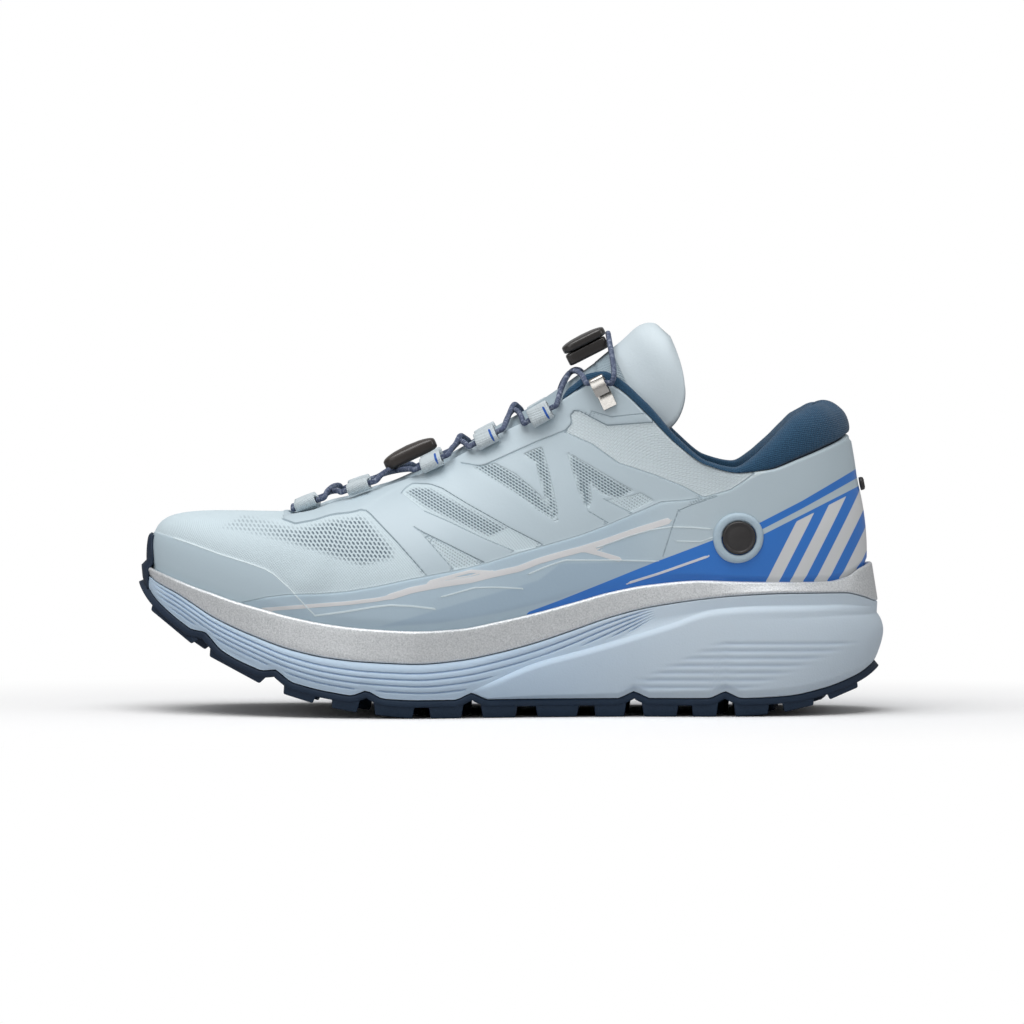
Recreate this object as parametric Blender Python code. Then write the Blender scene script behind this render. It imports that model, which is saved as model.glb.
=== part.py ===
# Trail running shoe, left foot, standing on its sole
# +X runs from toe to heel, +Y to the inner (medial) side, +Z up, in metres.
# The origin is on the ground under the middle of the shoe.

import math

import bmesh
import bpy
from mathutils import Matrix, Vector

# Overall sizes
sole_length = 0.292
ball_width = 0.111
sole_height = 0.060  # ground to the top of the midsole rim at the heel
instep_height = 0.130  # ground to the top lace hook
tongue_height = 0.151

# Walls, seats and clearances
piece_gap = 0.0003
upper_wall = 0.0020
overlay_step = 0.0006
rim_wall = 0.0022
rim_rebate = 0.0042
carrier_floor = 0.0050
insole_thickness = 0.0042
tongue_thickness = 0.0042
cup_width = 0.0085

# Outsole
outsole_sheet = 0.0027
flex_groove_rise = 0.0027
flex_groove_width = 0.0120

# Midsole side
rib_depth = 0.0010
side_bulge = 0.0016
heel_block_step = 0.0014
heel_swell = 0.0030

# Lacing
lace_diameter = 0.0026
loop_length = 0.0088
loop_width = 0.0078
loop_height = 0.0048
loop_web = 0.0008
hook_width = 0.0072
hook_length = 0.0125
hook_sheet = 0.0012
hook_throat = 0.0032
lock_length = 0.0172
lock_width = 0.0140
lock_height = 0.0078
keeper_length = 0.0190
keeper_width = 0.0115
keeper_height = 0.0050

# Fittings
snap_diameter = 0.0128
snap_height = 0.0018
snap_ring_width = 0.0030
stud_diameter = 0.0052
stud_height = 0.0018
guard_thickness = 0.0016

# How finely the pieces are divided
side_stations = 20
upper_bands = 4
cord_sides = 6

lateral = -1
medial = 1

# Sole lines and depth of tread, in shares of sole_height, at shares of sole_length from the toe
sole_lines = (
    ("share", "outsole", "carrier", "rim", "bed", "tread"),
    (0.003, 0.922, 0.935, 0.955, 0.842, 0.073),
    (0.006, 0.885, 0.918, 0.952, 0.840, 0.073),
    (0.010, 0.838, 0.895, 0.946, 0.836, 0.073),
    (0.016, 0.789, 0.876, 0.938, 0.829, 0.073),
    (0.024, 0.740, 0.848, 0.923, 0.813, 0.074),
    (0.034, 0.694, 0.823, 0.906, 0.794, 0.074),
    (0.051, 0.627, 0.784, 0.876, 0.757, 0.075),
    (0.077, 0.539, 0.709, 0.830, 0.710, 0.075),
    (0.100, 0.467, 0.640, 0.795, 0.670, 0.076),
    (0.128, 0.382, 0.575, 0.750, 0.625, 0.077),
    (0.155, 0.323, 0.522, 0.715, 0.590, 0.078),
    (0.205, 0.232, 0.437, 0.653, 0.533, 0.088),
    (0.256, 0.171, 0.385, 0.607, 0.490, 0.096),
    (0.308, 0.136, 0.360, 0.580, 0.463, 0.105),
    (0.376, 0.118, 0.348, 0.565, 0.450, 0.118),
    (0.430, 0.118, 0.368, 0.577, 0.460, 0.118),
    (0.480, 0.118, 0.413, 0.620, 0.487, 0.118),
    (0.530, 0.118, 0.475, 0.673, 0.525, 0.118),
    (0.580, 0.118, 0.555, 0.738, 0.563, 0.118),
    (0.630, 0.118, 0.638, 0.805, 0.597, 0.118),
    (0.683, 0.118, 0.703, 0.853, 0.620, 0.118),
    (0.751, 0.118, 0.753, 0.880, 0.633, 0.118),
    (0.800, 0.118, 0.777, 0.873, 0.633, 0.118),
    (0.865, 0.130, 0.790, 0.867, 0.630, 0.100),
    (0.918, 0.180, 0.788, 0.865, 0.633, 0.083),
    (0.945, 0.224, 0.784, 0.890, 0.642, 0.079),
    (0.965, 0.266, 0.760, 0.945, 0.651, 0.076),
    (0.985, 0.332, 0.719, 0.977, 0.667, 0.072),
    (1.000, 0.402, 0.692, 0.972, 0.672, 0.070),
)

# Top of the raised heel block on the sole's side, as shares of sole_height
block_lines = (
    ("share", "top"),
    (0.430, 0.150),
    (0.452, 0.190),
    (0.529, 0.350),
    (0.605, 0.450),
    (0.657, 0.523),
    (0.708, 0.600),
    (0.770, 0.695),
    (0.832, 0.715),
    (0.925, 0.715),
    (1.000, 0.680),
)

# Plan of the sole: centre line and half width, as shares of ball_width
sole_plan = (
    ("share", "centre", "half"),
    (0.00, 0.090, 0.470),
    (0.05, 0.075, 0.467),
    (0.10, 0.057, 0.462),
    (0.20, 0.025, 0.474),
    (0.30, 0.001, 0.496),
    (0.36, -0.006, 0.500),
    (0.45, -0.012, 0.448),
    (0.55, -0.008, 0.392),
    (0.65, 0.002, 0.377),
    (0.75, 0.011, 0.391),
    (0.85, 0.016, 0.398),
    (1.00, 0.022, 0.400),
)

# Edge of the throat and the collar: x as share of sole_length, y as shares of
# ball_width, z as share of instep_height, at stations around from toe to heel
opening_edge = (
    ("around", "share", "centre", "half", "height"),
    (0.000, 0.1990, 0.052, 0.000, 0.5977),
    (0.050, 0.1997, 0.052, 0.034, 0.5979),
    (0.100, 0.2030, 0.052, 0.066, 0.5946),
    (0.150, 0.2090, 0.052, 0.090, 0.5900),
    (0.200, 0.2200, 0.052, 0.106, 0.5886),
    (0.250, 0.2385, 0.050, 0.118, 0.6021),
    (0.300, 0.2660, 0.048, 0.130, 0.6277),
    (0.350, 0.3040, 0.045, 0.144, 0.6573),
    (0.400, 0.3520, 0.040, 0.158, 0.6920),
    (0.450, 0.4150, 0.035, 0.176, 0.7539),
    (0.500, 0.4830, 0.030, 0.194, 0.8347),
    (0.540, 0.5370, 0.028, 0.212, 0.8935),
    (0.570, 0.5810, 0.026, 0.226, 0.9571),
    (0.585, 0.6000, 0.025, 0.235, 0.9854),
    (0.600, 0.6200, 0.024, 0.246, 0.9919),
    (0.615, 0.6400, 0.023, 0.258, 0.9724),
    (0.640, 0.6770, 0.022, 0.280, 0.8992),
    (0.670, 0.7190, 0.021, 0.306, 0.8052),
    (0.700, 0.7580, 0.020, 0.322, 0.7449),
    (0.740, 0.8020, 0.019, 0.328, 0.7206),
    (0.780, 0.8420, 0.018, 0.314, 0.7286),
    (0.820, 0.8780, 0.018, 0.280, 0.7564),
    (0.870, 0.9140, 0.018, 0.212, 0.7878),
    (0.920, 0.9370, 0.018, 0.134, 0.8099),
    (0.960, 0.9480, 0.018, 0.066, 0.8244),
    (1.000, 0.9505, 0.018, 0.000, 0.8262),
)

# Fullness of the upper between rim and opening: rise and flare of the lower
# handle, then reach, drop and flare of the upper handle. Rise, reach and drop
# are shares of the span to cross, and both flares are shares of ball_width.
upper_fullness = (
    ("around", "rise", "flare", "reach", "drop", "belly"),
    (0.00, 1.18, 0.008, 0.86, 0.00, 0.000),
    (0.10, 1.12, 0.012, 0.82, 0.00, 0.000),
    (0.20, 0.92, 0.022, 0.74, 0.00, 0.000),
    (0.30, 0.66, 0.030, 0.62, 0.04, 0.000),
    (0.40, 0.50, 0.030, 0.56, 0.14, 0.000),
    (0.50, 0.44, 0.024, 0.50, 0.22, 0.000),
    (0.60, 0.38, 0.016, 0.34, 0.32, 0.000),
    (0.70, 0.34, 0.014, 0.18, 0.34, 0.004),
    (0.80, 0.34, 0.018, 0.10, 0.36, 0.012),
    (0.90, 0.34, 0.012, 0.06, 0.40, 0.022),
    (1.00, 0.34, 0.006, 0.04, 0.42, 0.030),
)

# Overlays on the upper, as shares of the way from rim to opening: top of the
# mudguard, bottom of the eyestay, and how much of the step each band has
overlay_lines = (
    ("around", "mudguard", "eyestay", "mudguard_step", "field_step", "eyestay_step"),
    (0.00, 0.280, 0.870, 1.0, 0.0, 1.0),
    (0.06, 0.310, 0.865, 1.0, 0.0, 1.0),
    (0.12, 0.285, 0.840, 1.0, 0.0, 1.0),
    (0.20, 0.245, 0.750, 1.0, 0.0, 1.0),
    (0.26, 0.200, 0.655, 1.0, 0.0, 1.0),
    (0.30, 0.125, 0.660, 1.0, 0.0, 1.0),
    (0.36, 0.190, 0.760, 1.0, 0.0, 1.0),
    (0.40, 0.240, 0.870, 1.0, 0.0, 1.0),
    (0.42, 0.255, 0.890, 1.0, 0.0, 1.0),
    (0.48, 0.270, 0.825, 1.0, 0.0, 1.0),
    (0.54, 0.265, 0.860, 1.0, 0.0, 1.0),
    (0.60, 0.305, 0.790, 1.0, 0.0, 1.0),
    (0.64, 0.430, 0.930, 1.0, 0.0, 1.0),
    (0.68, 0.630, 0.940, 1.0, 0.3, 1.0),
    (0.71, 0.780, 0.940, 1.0, 1.0, 1.0),
    (0.76, 0.830, 0.940, 1.0, 1.0, 1.0),
    (1.00, 0.800, 0.940, 1.0, 1.0, 1.0),
)

# Collar padding: height over the edge and depth of the pad, in shares of
# collar_pad_height and collar_pad_depth
collar_pad_height = 0.0135
collar_pad_depth = 0.0185
collar_sizes = (
    ("around", "rise", "depth", "reach"),
    (0.590, 0.30, 0.17, 0.30),
    (0.640, 0.32, 0.18, 0.34),
    (0.670, 0.22, 0.20, 0.38),
    (0.700, 0.13, 0.24, 0.42),
    (0.733, 0.17, 0.32, 0.44),
    (0.757, 0.42, 0.46, 0.46),
    (0.784, 0.80, 0.62, 0.48),
    (0.812, 1.05, 0.76, 0.50),
    (0.838, 1.18, 0.86, 0.50),
    (0.880, 1.19, 0.94, 0.50),
    (0.930, 1.06, 0.98, 0.52),
    (1.000, 0.96, 1.00, 0.52),
)

# Tongue ridge: x as share of sole_length, height as share of tongue_height,
# half width as share of ball_width, then how far its edges fall and trail behind
tongue_ridge = (
    ("around", "share", "height", "half", "fall", "trail"),
    (0.600, 0.605, 0.893, 0.205, 0.200, 0.030),
    (0.700, 0.632, 0.936, 0.218, 0.225, 0.052),
    (0.800, 0.656, 0.970, 0.225, 0.215, 0.062),
    (0.880, 0.670, 0.989, 0.222, 0.172, 0.061),
    (0.940, 0.680, 0.998, 0.200, 0.120, 0.049),
    (1.000, 0.690, 0.998, 0.152, 0.058, 0.029),
    (1.050, 0.700, 0.988, 0.090, 0.020, 0.012),
)
ridge_crown = (
    ("around", "crown"),
    (0.10, 0.006),
    (0.20, 0.008),
    (0.30, 0.011),
    (0.37, 0.014),
    (0.41, 0.017),
    (0.48, 0.019),
    (0.53, 0.024),
    (0.56, 0.030),
)

loop_stations = (0.228, 0.345, 0.437, 0.490, 0.542)
loop_lifts = (0.0014, 0.0005, 0.0006, 0.0003, 0.0006)  # over the eyestay, where its edge turns
hook_station = 0.598
hook_drop = 0.93  # place of the hook between rim and edge
flex_grooves = (0.0925, 0.1870, 0.3075, 0.4466, 0.6620, 0.7830)
toe_roundness = 2.2
toe_rounding = 0.30  # how much of the length the rounding takes
heel_roundness = 2.1
heel_rounding = 0.20
line_ends = {  # where each line around the sole begins and ends
    "outsole": (0.0085, 0.9850),
    "carrier": (0.0095, 0.9890),
    "rim": (0.0085, 0.9810),
}
toe_shift = 0.16  # how far a line's own end moves the stations behind it
heel_shift = 0.20
side_lugs = (  # blocks along both edges, from and to as shares of the length
    ("from", "to"),
    (0.024, 0.086),
    (0.101, 0.176),
    (0.199, 0.243),
    (0.262, 0.299),
    (0.317, 0.372),
    (0.389, 0.436),
    (0.458, 0.508),
    (0.530, 0.590),
    (0.608, 0.652),
    (0.672, 0.722),
    (0.738, 0.774),
    (0.794, 0.842),
    (0.858, 0.900),
    (0.916, 0.958),
)
middle_lugs = (  # pairs of blocks down the middle: middle share and slant
    ("share", "slant"),
    (0.075, 0.30),
    (0.148, 0.30),
    (0.222, 0.34),
    (0.288, 0.34),
    (0.352, 0.34),
    (0.420, 0.34),
    (0.640, -0.30),
    (0.706, -0.30),
    (0.772, -0.34),
    (0.838, -0.34),
    (0.900, -0.30),
)
side_reach = (0.60, 0.985)
middle_reach = (0.07, 0.46)
middle_lug_length = 0.0115
lug_root = 0.0012
band_grooves = 4  # under the silver rim, from toe to heel
block_grooves = 4  # on the heel block only
block_front = 0.430
groove_zone = (0.22, 0.72)  # of the heel block's height
collar_profile = (  # inward and upward, as shares of the pad's depth and rise
    (0.00, 0.10),
    (0.00, 0.38),
    (0.10, 0.70),
    (0.30, 0.93),
    (0.55, 1.00),
    (0.80, 0.86),
    (1.00, 0.45),
)
collar_seat = 0.0005
collar_first = 0.585  # place around the shoe where the collar leaves the eyestay
tongue_seat = 0.0013  # room between the tongue and the inside of the upper
tongue_wings = (0.84, 0.92)  # edges tucked under the eyestays
across_shares = (0.18, 0.36, 0.5, 0.64, 0.82)
tongue_toe = (  # front rows under the vamp, by column from the side to the middle
    ("column", "around", "front", "back"),
    (0, 0.110, 0.825, 0.840),
    (1, 0.098, 0.825, 0.890),
    (2, 0.082, 0.830, 0.945),
    (3, 0.056, 0.840, 0.955),
    (4, 0.028, 0.845, 0.960),
    (5, 0.000, 0.845, 0.960),
)
top_bar_station = 0.612
fastener_seats = (  # x as share of sole_length, height in metres, tilt up to the heel in degrees
    ("name", "share", "height", "tilt"),
    ("lock", 0.598, 0.9417 * tongue_height, 27),
    ("keeper", 0.364, 0.7715 * instep_height, 25),
)
snap_seat = (0.722, 0.40)
stud_seat = (1.0, 0.655)


def column(table, name, at):
    """Value of a table's named column at a station, on a monotone smooth curve."""
    names = table[0]
    rows = table[1:]
    place = names.index(name)
    keys = [row[0] for row in rows]
    values = [row[place] for row in rows]
    if at <= keys[0]:
        return values[0]
    if at >= keys[-1]:
        return values[-1]
    k = max(i for i in range(len(keys) - 1) if keys[i] <= at)

    def slope(i):
        if i == 0 or i == len(keys) - 1:
            j = max(i - 1, 0)
            return (values[j + 1] - values[j]) / (keys[j + 1] - keys[j])
        before = (values[i] - values[i - 1]) / (keys[i] - keys[i - 1])
        after = (values[i + 1] - values[i]) / (keys[i + 1] - keys[i])
        if before * after <= 0:
            return 0.0
        return 2 * before * after / (before + after)

    width = keys[k + 1] - keys[k]
    u = (at - keys[k]) / width
    start = (2 * u**3 - 3 * u**2 + 1) * values[k]
    end = (3 * u**2 - 2 * u**3) * values[k + 1]
    leave = (u**3 - 2 * u**2 + u) * width * slope(k)
    arrive = (u**3 - u**2) * width * slope(k + 1)
    return start + end + leave + arrive


def blend(a, b, share):
    return a + (b - a) * share


def ease(low, high, at):
    """0 below low, 1 above high, smooth between."""
    u = min(max((at - low) / (high - low), 0.0), 1.0)
    return u * u * (3 - 2 * u)


def x_at(share):
    return (share - 0.5) * sole_length


def groove_rise(share):
    """Rise of the sole line over the nearest flex groove across the sole."""
    half = flex_groove_width / sole_length / 2
    nearest = min(abs(share - groove) for groove in flex_grooves)
    return flex_groove_rise * max(0.0, 1 - nearest / half)


def outsole_line(share):
    return column(sole_lines, "outsole", share) * sole_height + groove_rise(share)


def carrier_line(share):
    return column(sole_lines, "carrier", share) * sole_height


def rim_line(share):
    return column(sole_lines, "rim", share) * sole_height


def bed_line(share):
    return column(sole_lines, "bed", share) * sole_height


def block_line(share):
    return column(block_lines, "top", share) * sole_height


def rounded(distance, reach, power):
    """Share of the full width at a distance from a rounded end."""
    inside = 1 - min(max(distance / reach, 0.0), 1.0)
    return (1 - inside**power) ** (1 / power)


def end_factor(share, ends):
    toe = rounded(share - ends[0], toe_rounding, toe_roundness)
    return toe * rounded(ends[1] - share, heel_rounding, heel_roundness)


def side_inset(line, share):
    """How far a line lies inside the sole's widest plan."""
    heel = ease(0.55, 0.80, share)
    insets = {
        "outsole": blend(0.0005, 0.0012, heel),
        "carrier": blend(0.0016, 0.0036, heel),
        "rim": blend(0.0030, 0.0052, heel),
    }
    return insets[line]


def ring_shares(stations, extra=()):
    """Shares from toe to heel, closer together at both round ends."""
    even = [(1 - math.cos(math.pi * i / stations)) / 2 for i in range(stations + 1)]
    near = 0.4 / stations
    kept = [u for u in even if all(abs(u - e) > near or u in (0, 1) for e in extra)]
    return sorted(kept + list(extra))


def groove_shares():
    """Stations at the foot and the peak of each flex groove."""
    half = flex_groove_width / sole_length / 2
    return [g + side * half for g in flex_grooves for side in (-1, 0, 1)]


def sole_shares():
    """Stations that all the layers of the sole share, so that they nest."""
    return ring_shares(side_stations, groove_shares())


def station_share(u, ends):
    """Share of the length at station u, for a line with its own ends."""
    base = line_ends["outsole"]
    share = blend(base[0], base[1], u)
    front = max(0.0, 1 - (share - base[0]) / toe_shift) ** 2
    back = max(0.0, 1 - (base[1] - share) / heel_shift) ** 2
    return share + (ends[0] - base[0]) * front + (ends[1] - base[1]) * back


def plan_ring(stations, ends, inset, height):
    """Closed ring of points: outer side toe to heel, then inner side back.

    ends are the ring's own first and last shares, inset and height functions
    of the share along the sole.
    """
    sides = {lateral: [], medial: []}
    for u in stations:
        share = station_share(u, ends)
        half = column(sole_plan, "half", share) * ball_width - inset(share)
        half *= end_factor(share, ends)
        centre = column(sole_plan, "centre", share) * ball_width
        for side in sides:
            sides[side].append(Vector((x_at(share), centre + side * half, height(share))))
    return sides[lateral] + sides[medial][-2:0:-1]


def line_ring(shares, line, height, inside=0.0):
    """Ring along a named sole line, moved inside by a distance."""
    ends = line_ends[line]
    step = inside / sole_length
    moved = (ends[0] + step, ends[1] - step)
    return plan_ring(shares, moved, lambda s: side_inset(line, s) + inside, height)


materials = {}


def material(name, colour, roughness, metallic=0.0):
    if name not in materials:
        made = bpy.data.materials.new(name)
        made.use_nodes = True
        shader = made.node_tree.nodes["Principled BSDF"]
        shader.inputs["Base Color"].default_value = (*colour, 1.0)
        shader.inputs["Roughness"].default_value = roughness
        shader.inputs["Metallic"].default_value = metallic
        made.diffuse_color = (*colour, 1.0)
        materials[name] = made
    return materials[name]


def ice_film():
    return material("ice_blue_film", (0.56, 0.67, 0.71), 0.45)


def ice_foam():
    return material("ice_blue_foam", (0.52, 0.64, 0.76), 0.6)


def silver_paint():
    return material("silver_paint", (0.55, 0.55, 0.55), 0.4, 0.4)


def navy_rubber():
    return material("navy_rubber", (0.012, 0.035, 0.08), 0.7)


def navy_textile():
    return material("navy_textile", (0.015, 0.05, 0.10), 0.9)


def black_plastic():
    return material("black_plastic", (0.02, 0.02, 0.02), 0.4)


def steel():
    return material("polished_steel", (0.7, 0.7, 0.68), 0.25, 1.0)


def cord_finish():
    return material("slate_cord", (0.08, 0.11, 0.2), 0.8)


def webbing():
    return material("pale_webbing", (0.6, 0.7, 0.72), 0.85)


def place(name, vertices, faces, finish, merge=1e-6):
    """Named object from points and faces, with its normals facing out."""
    mesh = bpy.data.meshes.new(name)
    mesh.from_pydata([tuple(v) for v in vertices], [], faces)
    edit = bmesh.new()
    edit.from_mesh(mesh)
    bmesh.ops.remove_doubles(edit, verts=edit.verts, dist=merge)
    bmesh.ops.triangulate(edit, faces=edit.faces, quad_method="SHORT_EDGE")
    bmesh.ops.recalc_face_normals(edit, faces=edit.faces)
    if edit.calc_volume(signed=True) < 0:
        bmesh.ops.reverse_faces(edit, faces=edit.faces)
    edit.to_mesh(mesh)
    edit.free()
    mesh.shade_smooth()
    mesh.set_sharp_from_angle(angle=math.radians(35))
    mesh.materials.append(finish)
    shown = bpy.data.objects.new(name, mesh)
    parts.objects.link(shown)
    return shown


def ring_walls(rings, first=0, closed=True):
    """Quads between rings of equal length."""
    count = len(rings[0])
    steps = count if closed else count - 1
    walls = []
    for level in range(len(rings) - 1):
        low = first + level * count
        high = low + count
        for i in range(steps):
            j = (i + 1) % count
            walls.append((low + i, low + j, high + j, high + i))
    return walls


def ladder(first, count):
    """Strips across a ring, from its outer side to its inner side."""
    half = count // 2
    strips = []
    for i in range(half):
        here = (first + i, first + i + 1)
        across = (first + (count - i - 1) % count, first + (count - i) % count)
        corners = here + across
        strips.append(tuple(dict.fromkeys(corners)))
    return strips


def stacked(name, rings, finish, merge=1e-6):
    """Closed solid from rings, with strips across the first and the last."""
    count = len(rings[0])
    points = [p for ring in rings for p in ring]
    faces = ring_walls(rings)
    faces += [tuple(reversed(f)) for f in ladder(0, count)]
    faces += ladder(len(points) - count, count)
    return place(name, points, faces, finish, merge)


def apply_modifiers(shown):
    graph = bpy.context.evaluated_depsgraph_get()
    mesh = bpy.data.meshes.new_from_object(shown.evaluated_get(graph))
    shown.modifiers.clear()
    shown.data = mesh


def join_solid(shown, other):
    """Union of two solids in the first, and the second is removed."""
    union = shown.modifiers.new("join", "BOOLEAN")
    union.operation = "UNION"
    union.solver = "EXACT"
    union.object = other
    bpy.context.view_layer.update()
    apply_modifiers(shown)
    bpy.data.objects.remove(other)


def smooth_line(share):
    """Outsole's top line without its flex grooves."""
    return column(sole_lines, "outsole", share) * sole_height


def sheet_face(share, depth, line):
    """Point of a line in the x-z plane, moved below it by a depth."""
    step = 0.0015
    before = Vector((x_at(share - step), 0, line(share - step)))
    after = Vector((x_at(share + step), 0, line(share + step)))
    run = (after - before).normalized()
    down = Vector((run.z, 0, -run.x))
    return Vector((x_at(share), 0, line(share))) + down * depth


def tread_depth(share):
    return column(sole_lines, "tread", share) * sole_height


def lug(first, last, side, reach, slant):
    """Tapered block from inside the sheet down to its worn face."""
    ends = line_ends["outsole"]
    middle = ((first + last) / 2, sum(reach) / 2)
    corners = [(first, reach[0]), (last, reach[0]), (last, reach[1]), (first, reach[1])]
    tops, feet = [], []
    for along, across in corners:
        for kept, wide in ((tops, 1.0), (feet, 0.86)):
            at = middle[0] + (along - middle[0]) * wide
            out = middle[1] + (across - middle[1]) * wide
            at += slant * (out - middle_reach[0]) * 0.06
            half = column(sole_plan, "half", at) * ball_width - side_inset("outsole", at)
            centre = column(sole_plan, "centre", at) * ball_width
            y = centre + side * out * half * end_factor(at, ends)
            if kept is tops:
                face = sheet_face(at, lug_root, smooth_line)
            else:
                face = sheet_face(at, tread_depth(at), smooth_line)
                face.z = max(0.0, face.z)
            kept.append(Vector((face.x, y, face.z)))
    return feet + tops


def build_outsole():
    shares = sole_shares()
    ends = line_ends["outsole"]

    def sheet_ring(depth, inside):
        flat = plan_ring(shares, ends, lambda s: side_inset("outsole", s) + inside, lambda s: s)
        moved = []
        for point in flat:
            at = sheet_face(point.z, depth, outsole_line)
            moved.append(Vector((at.x, point.y, at.z)))
        return moved

    levels = [sheet_ring(outsole_sheet, 0.0006), sheet_ring(0.0, 0.0)]
    sheet = stacked("outsole", levels, navy_rubber())
    points, faces = [], []
    blocks = []
    for side in (lateral, medial):
        blocks += [lug(first, last, side, side_reach, 0.0) for first, last in side_lugs[1:]]
        for share, slant in middle_lugs[1:]:
            half = middle_lug_length / sole_length / 2
            blocks.append(lug(share - half, share + half, side, middle_reach, slant))
    for corners in blocks:
        first = len(points)
        points += corners
        faces += ring_walls([range(4), range(4)], first)
        faces += [(first, first + 3, first + 2, first + 1)]
        faces += [(first + 4, first + 5, first + 6, first + 7)]
    lugs = place("lugs", points, faces, navy_rubber())
    join_solid(sheet, lugs)
    return sheet


def block_share(share):
    """How much of the heel block there is: none in front, all behind the arch."""
    return ease(block_front, 0.52, share)


def foam_inset(share, line_share):
    """Side of the foam between the outsole (0) and the carrier (1)."""
    straight = blend(side_inset("outsole", share), side_inset("carrier", share), line_share)
    inside = min(max(line_share, 0.0), 1.0)
    return straight - side_bulge * math.sin(math.pi * inside) ** 0.8


def block_ring(shares, u, groove):
    """Ring on the heel block, u of the way from the outsole to the block's top."""

    def inset(share):
        line_share = u * block_part(share)
        out = heel_block_step * block_share(share) * ease(0.0, 0.06, u)
        ribbed = ease(0.60, 0.68, share) * (1 - ease(0.95, 0.985, share))
        return foam_inset(share, line_share) - out + rib_depth * ribbed * groove

    def height(share):
        floor = outsole_line(share) + piece_gap
        return floor + (carrier_line(share) - floor) * u * block_part(share)

    return plan_ring(shares, foam_ends(0.0, u * block_part(0.99)), inset, height)


def block_part(share):
    """Top of the heel block as a part of the foam's height."""
    if share <= block_front:
        return 0.0
    floor = outsole_line(share) + piece_gap
    full = (block_line(share) - floor) / (carrier_line(share) - floor)
    return max(0.0, full) * ease(block_front, block_front + 0.03, share)


def foam_ends(toe_level, heel_level):
    """First and last share of a ring on the foam, with the heel's swell."""
    first = blend(line_ends["outsole"][0], line_ends["carrier"][0], toe_level)
    last = blend(line_ends["outsole"][1], line_ends["carrier"][1], heel_level)
    swell = heel_swell / sole_length * math.sin(math.pi * min(heel_level * 1.25, 1.0)) ** 0.7
    return first, last + swell


def band_ring(shares, u, groove):
    """Ring between the heel block's top and the carrier."""

    def line_share(share):
        part = block_part(share)
        return part + (1 - part) * u

    def inset(share):
        free = (carrier_line(share) - outsole_line(share)) * (1 - block_part(share))
        ribbed = ease(0.0035, 0.0100, free)
        lip = heel_block_step * block_share(share) * (1 - ease(0.0, 0.12, u))
        return foam_inset(share, line_share(share)) - lip * 0.15 + rib_depth * ribbed * groove

    def height(share):
        floor = outsole_line(share) + piece_gap
        return floor + (carrier_line(share) - floor) * line_share(share)

    return plan_ring(shares, foam_ends(u, line_share(0.99)), inset, height)


def build_midsole():
    """Ribbed foam with the raised heel block, from the outsole to the carrier."""
    shares = sole_shares()
    rings = [block_ring(shares, 0.0, 0)]
    pitch = (groove_zone[1] - groove_zone[0]) / block_grooves
    for k in range(block_grooves):
        rings.append(block_ring(shares, groove_zone[0] + k * pitch, 0))
        rings.append(block_ring(shares, groove_zone[0] + (k + 0.5) * pitch, 1))
    rings.append(block_ring(shares, groove_zone[1], 0))
    rings.append(block_ring(shares, 0.96, 0))
    rings.append(band_ring(shares, 0.02, 0))
    for k in range(band_grooves):
        rings.append(band_ring(shares, (k + 0.35) / band_grooves, 1))
        rings.append(band_ring(shares, (k + 0.65) / band_grooves, 0))
    rings.append(band_ring(shares, 1.0, 0))
    rings.append(line_ring(shares, "carrier", dish_line, cup_width))
    return stacked("midsole", rings, ice_foam(), 5e-5)


def dish_line(share):
    """Top of the foam under the carrier's floor."""
    return bed_line(share) - carrier_floor


def build_carrier():
    """Silver rim that cups the foot, between the foam and the upper."""
    shares = sole_shares()
    inner = rim_wall + piece_gap + upper_wall + 0.0008
    rings = [
        line_ring(shares, "carrier", lambda s: dish_line(s) + 2 * piece_gap, cup_width),
        line_ring(shares, "carrier", lambda s: carrier_line(s) + 2 * piece_gap),
        line_ring(shares, "carrier", lambda s: blend(carrier_line(s), rim_line(s), 0.5), -0.0002),
        line_ring(shares, "rim", lambda s: rim_line(s) - 0.0012, -0.0003),
        line_ring(shares, "rim", rim_line, 0.0006),
        line_ring(shares, "rim", rim_line, rim_wall),
        line_ring(shares, "rim", lambda s: rim_line(s) - rim_rebate, rim_wall),
        line_ring(shares, "rim", lambda s: rim_line(s) - rim_rebate, inner),
        line_ring(shares, "rim", bed_line, inner + cup_width),
    ]
    return stacked("midsole_carrier", rings, silver_paint())


def build_insole():
    shares = sole_shares()
    inner = rim_wall + piece_gap + upper_wall + 0.0008
    floor = inner + cup_width + 2 * piece_gap
    side = inner + 2 * piece_gap

    def edge(share, up):
        return rim_line(share) - rim_rebate + up

    def top(share):
        return bed_line(share) + insole_thickness

    rings = [
        line_ring(shares, "rim", lambda s: bed_line(s) + 2 * piece_gap, floor),
        line_ring(shares, "rim", lambda s: edge(s, 0.0009), side),
        line_ring(shares, "rim", lambda s: edge(s, 0.0024), side + 0.0003),
        line_ring(shares, "rim", lambda s: max(top(s), bed_line(s) + 0.003), floor),
    ]
    return stacked("insole", rings, material("pale_insole", (0.5, 0.55, 0.6), 0.9))


def around_of(q):
    """Side and station for a place around the shoe: 0 toe, 1 heel, 2 toe again."""
    q = q % 2.0
    return (lateral, q) if q <= 1 else (medial, 2 - q)


def rim_point(q, inside, height):
    """Point inside the rim at a place around the shoe."""
    side, around = around_of(q)
    u = (1 - math.cos(math.pi * around)) / 2
    step = inside / sole_length
    ends = (line_ends["rim"][0] + step, line_ends["rim"][1] - step)
    share = station_share(u, ends)
    half = column(sole_plan, "half", share) * ball_width - side_inset("rim", share) - inside
    centre = column(sole_plan, "centre", share) * ball_width
    z = rim_line(share) + height
    return Vector((x_at(share), centre + side * half * end_factor(share, ends), z))


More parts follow.
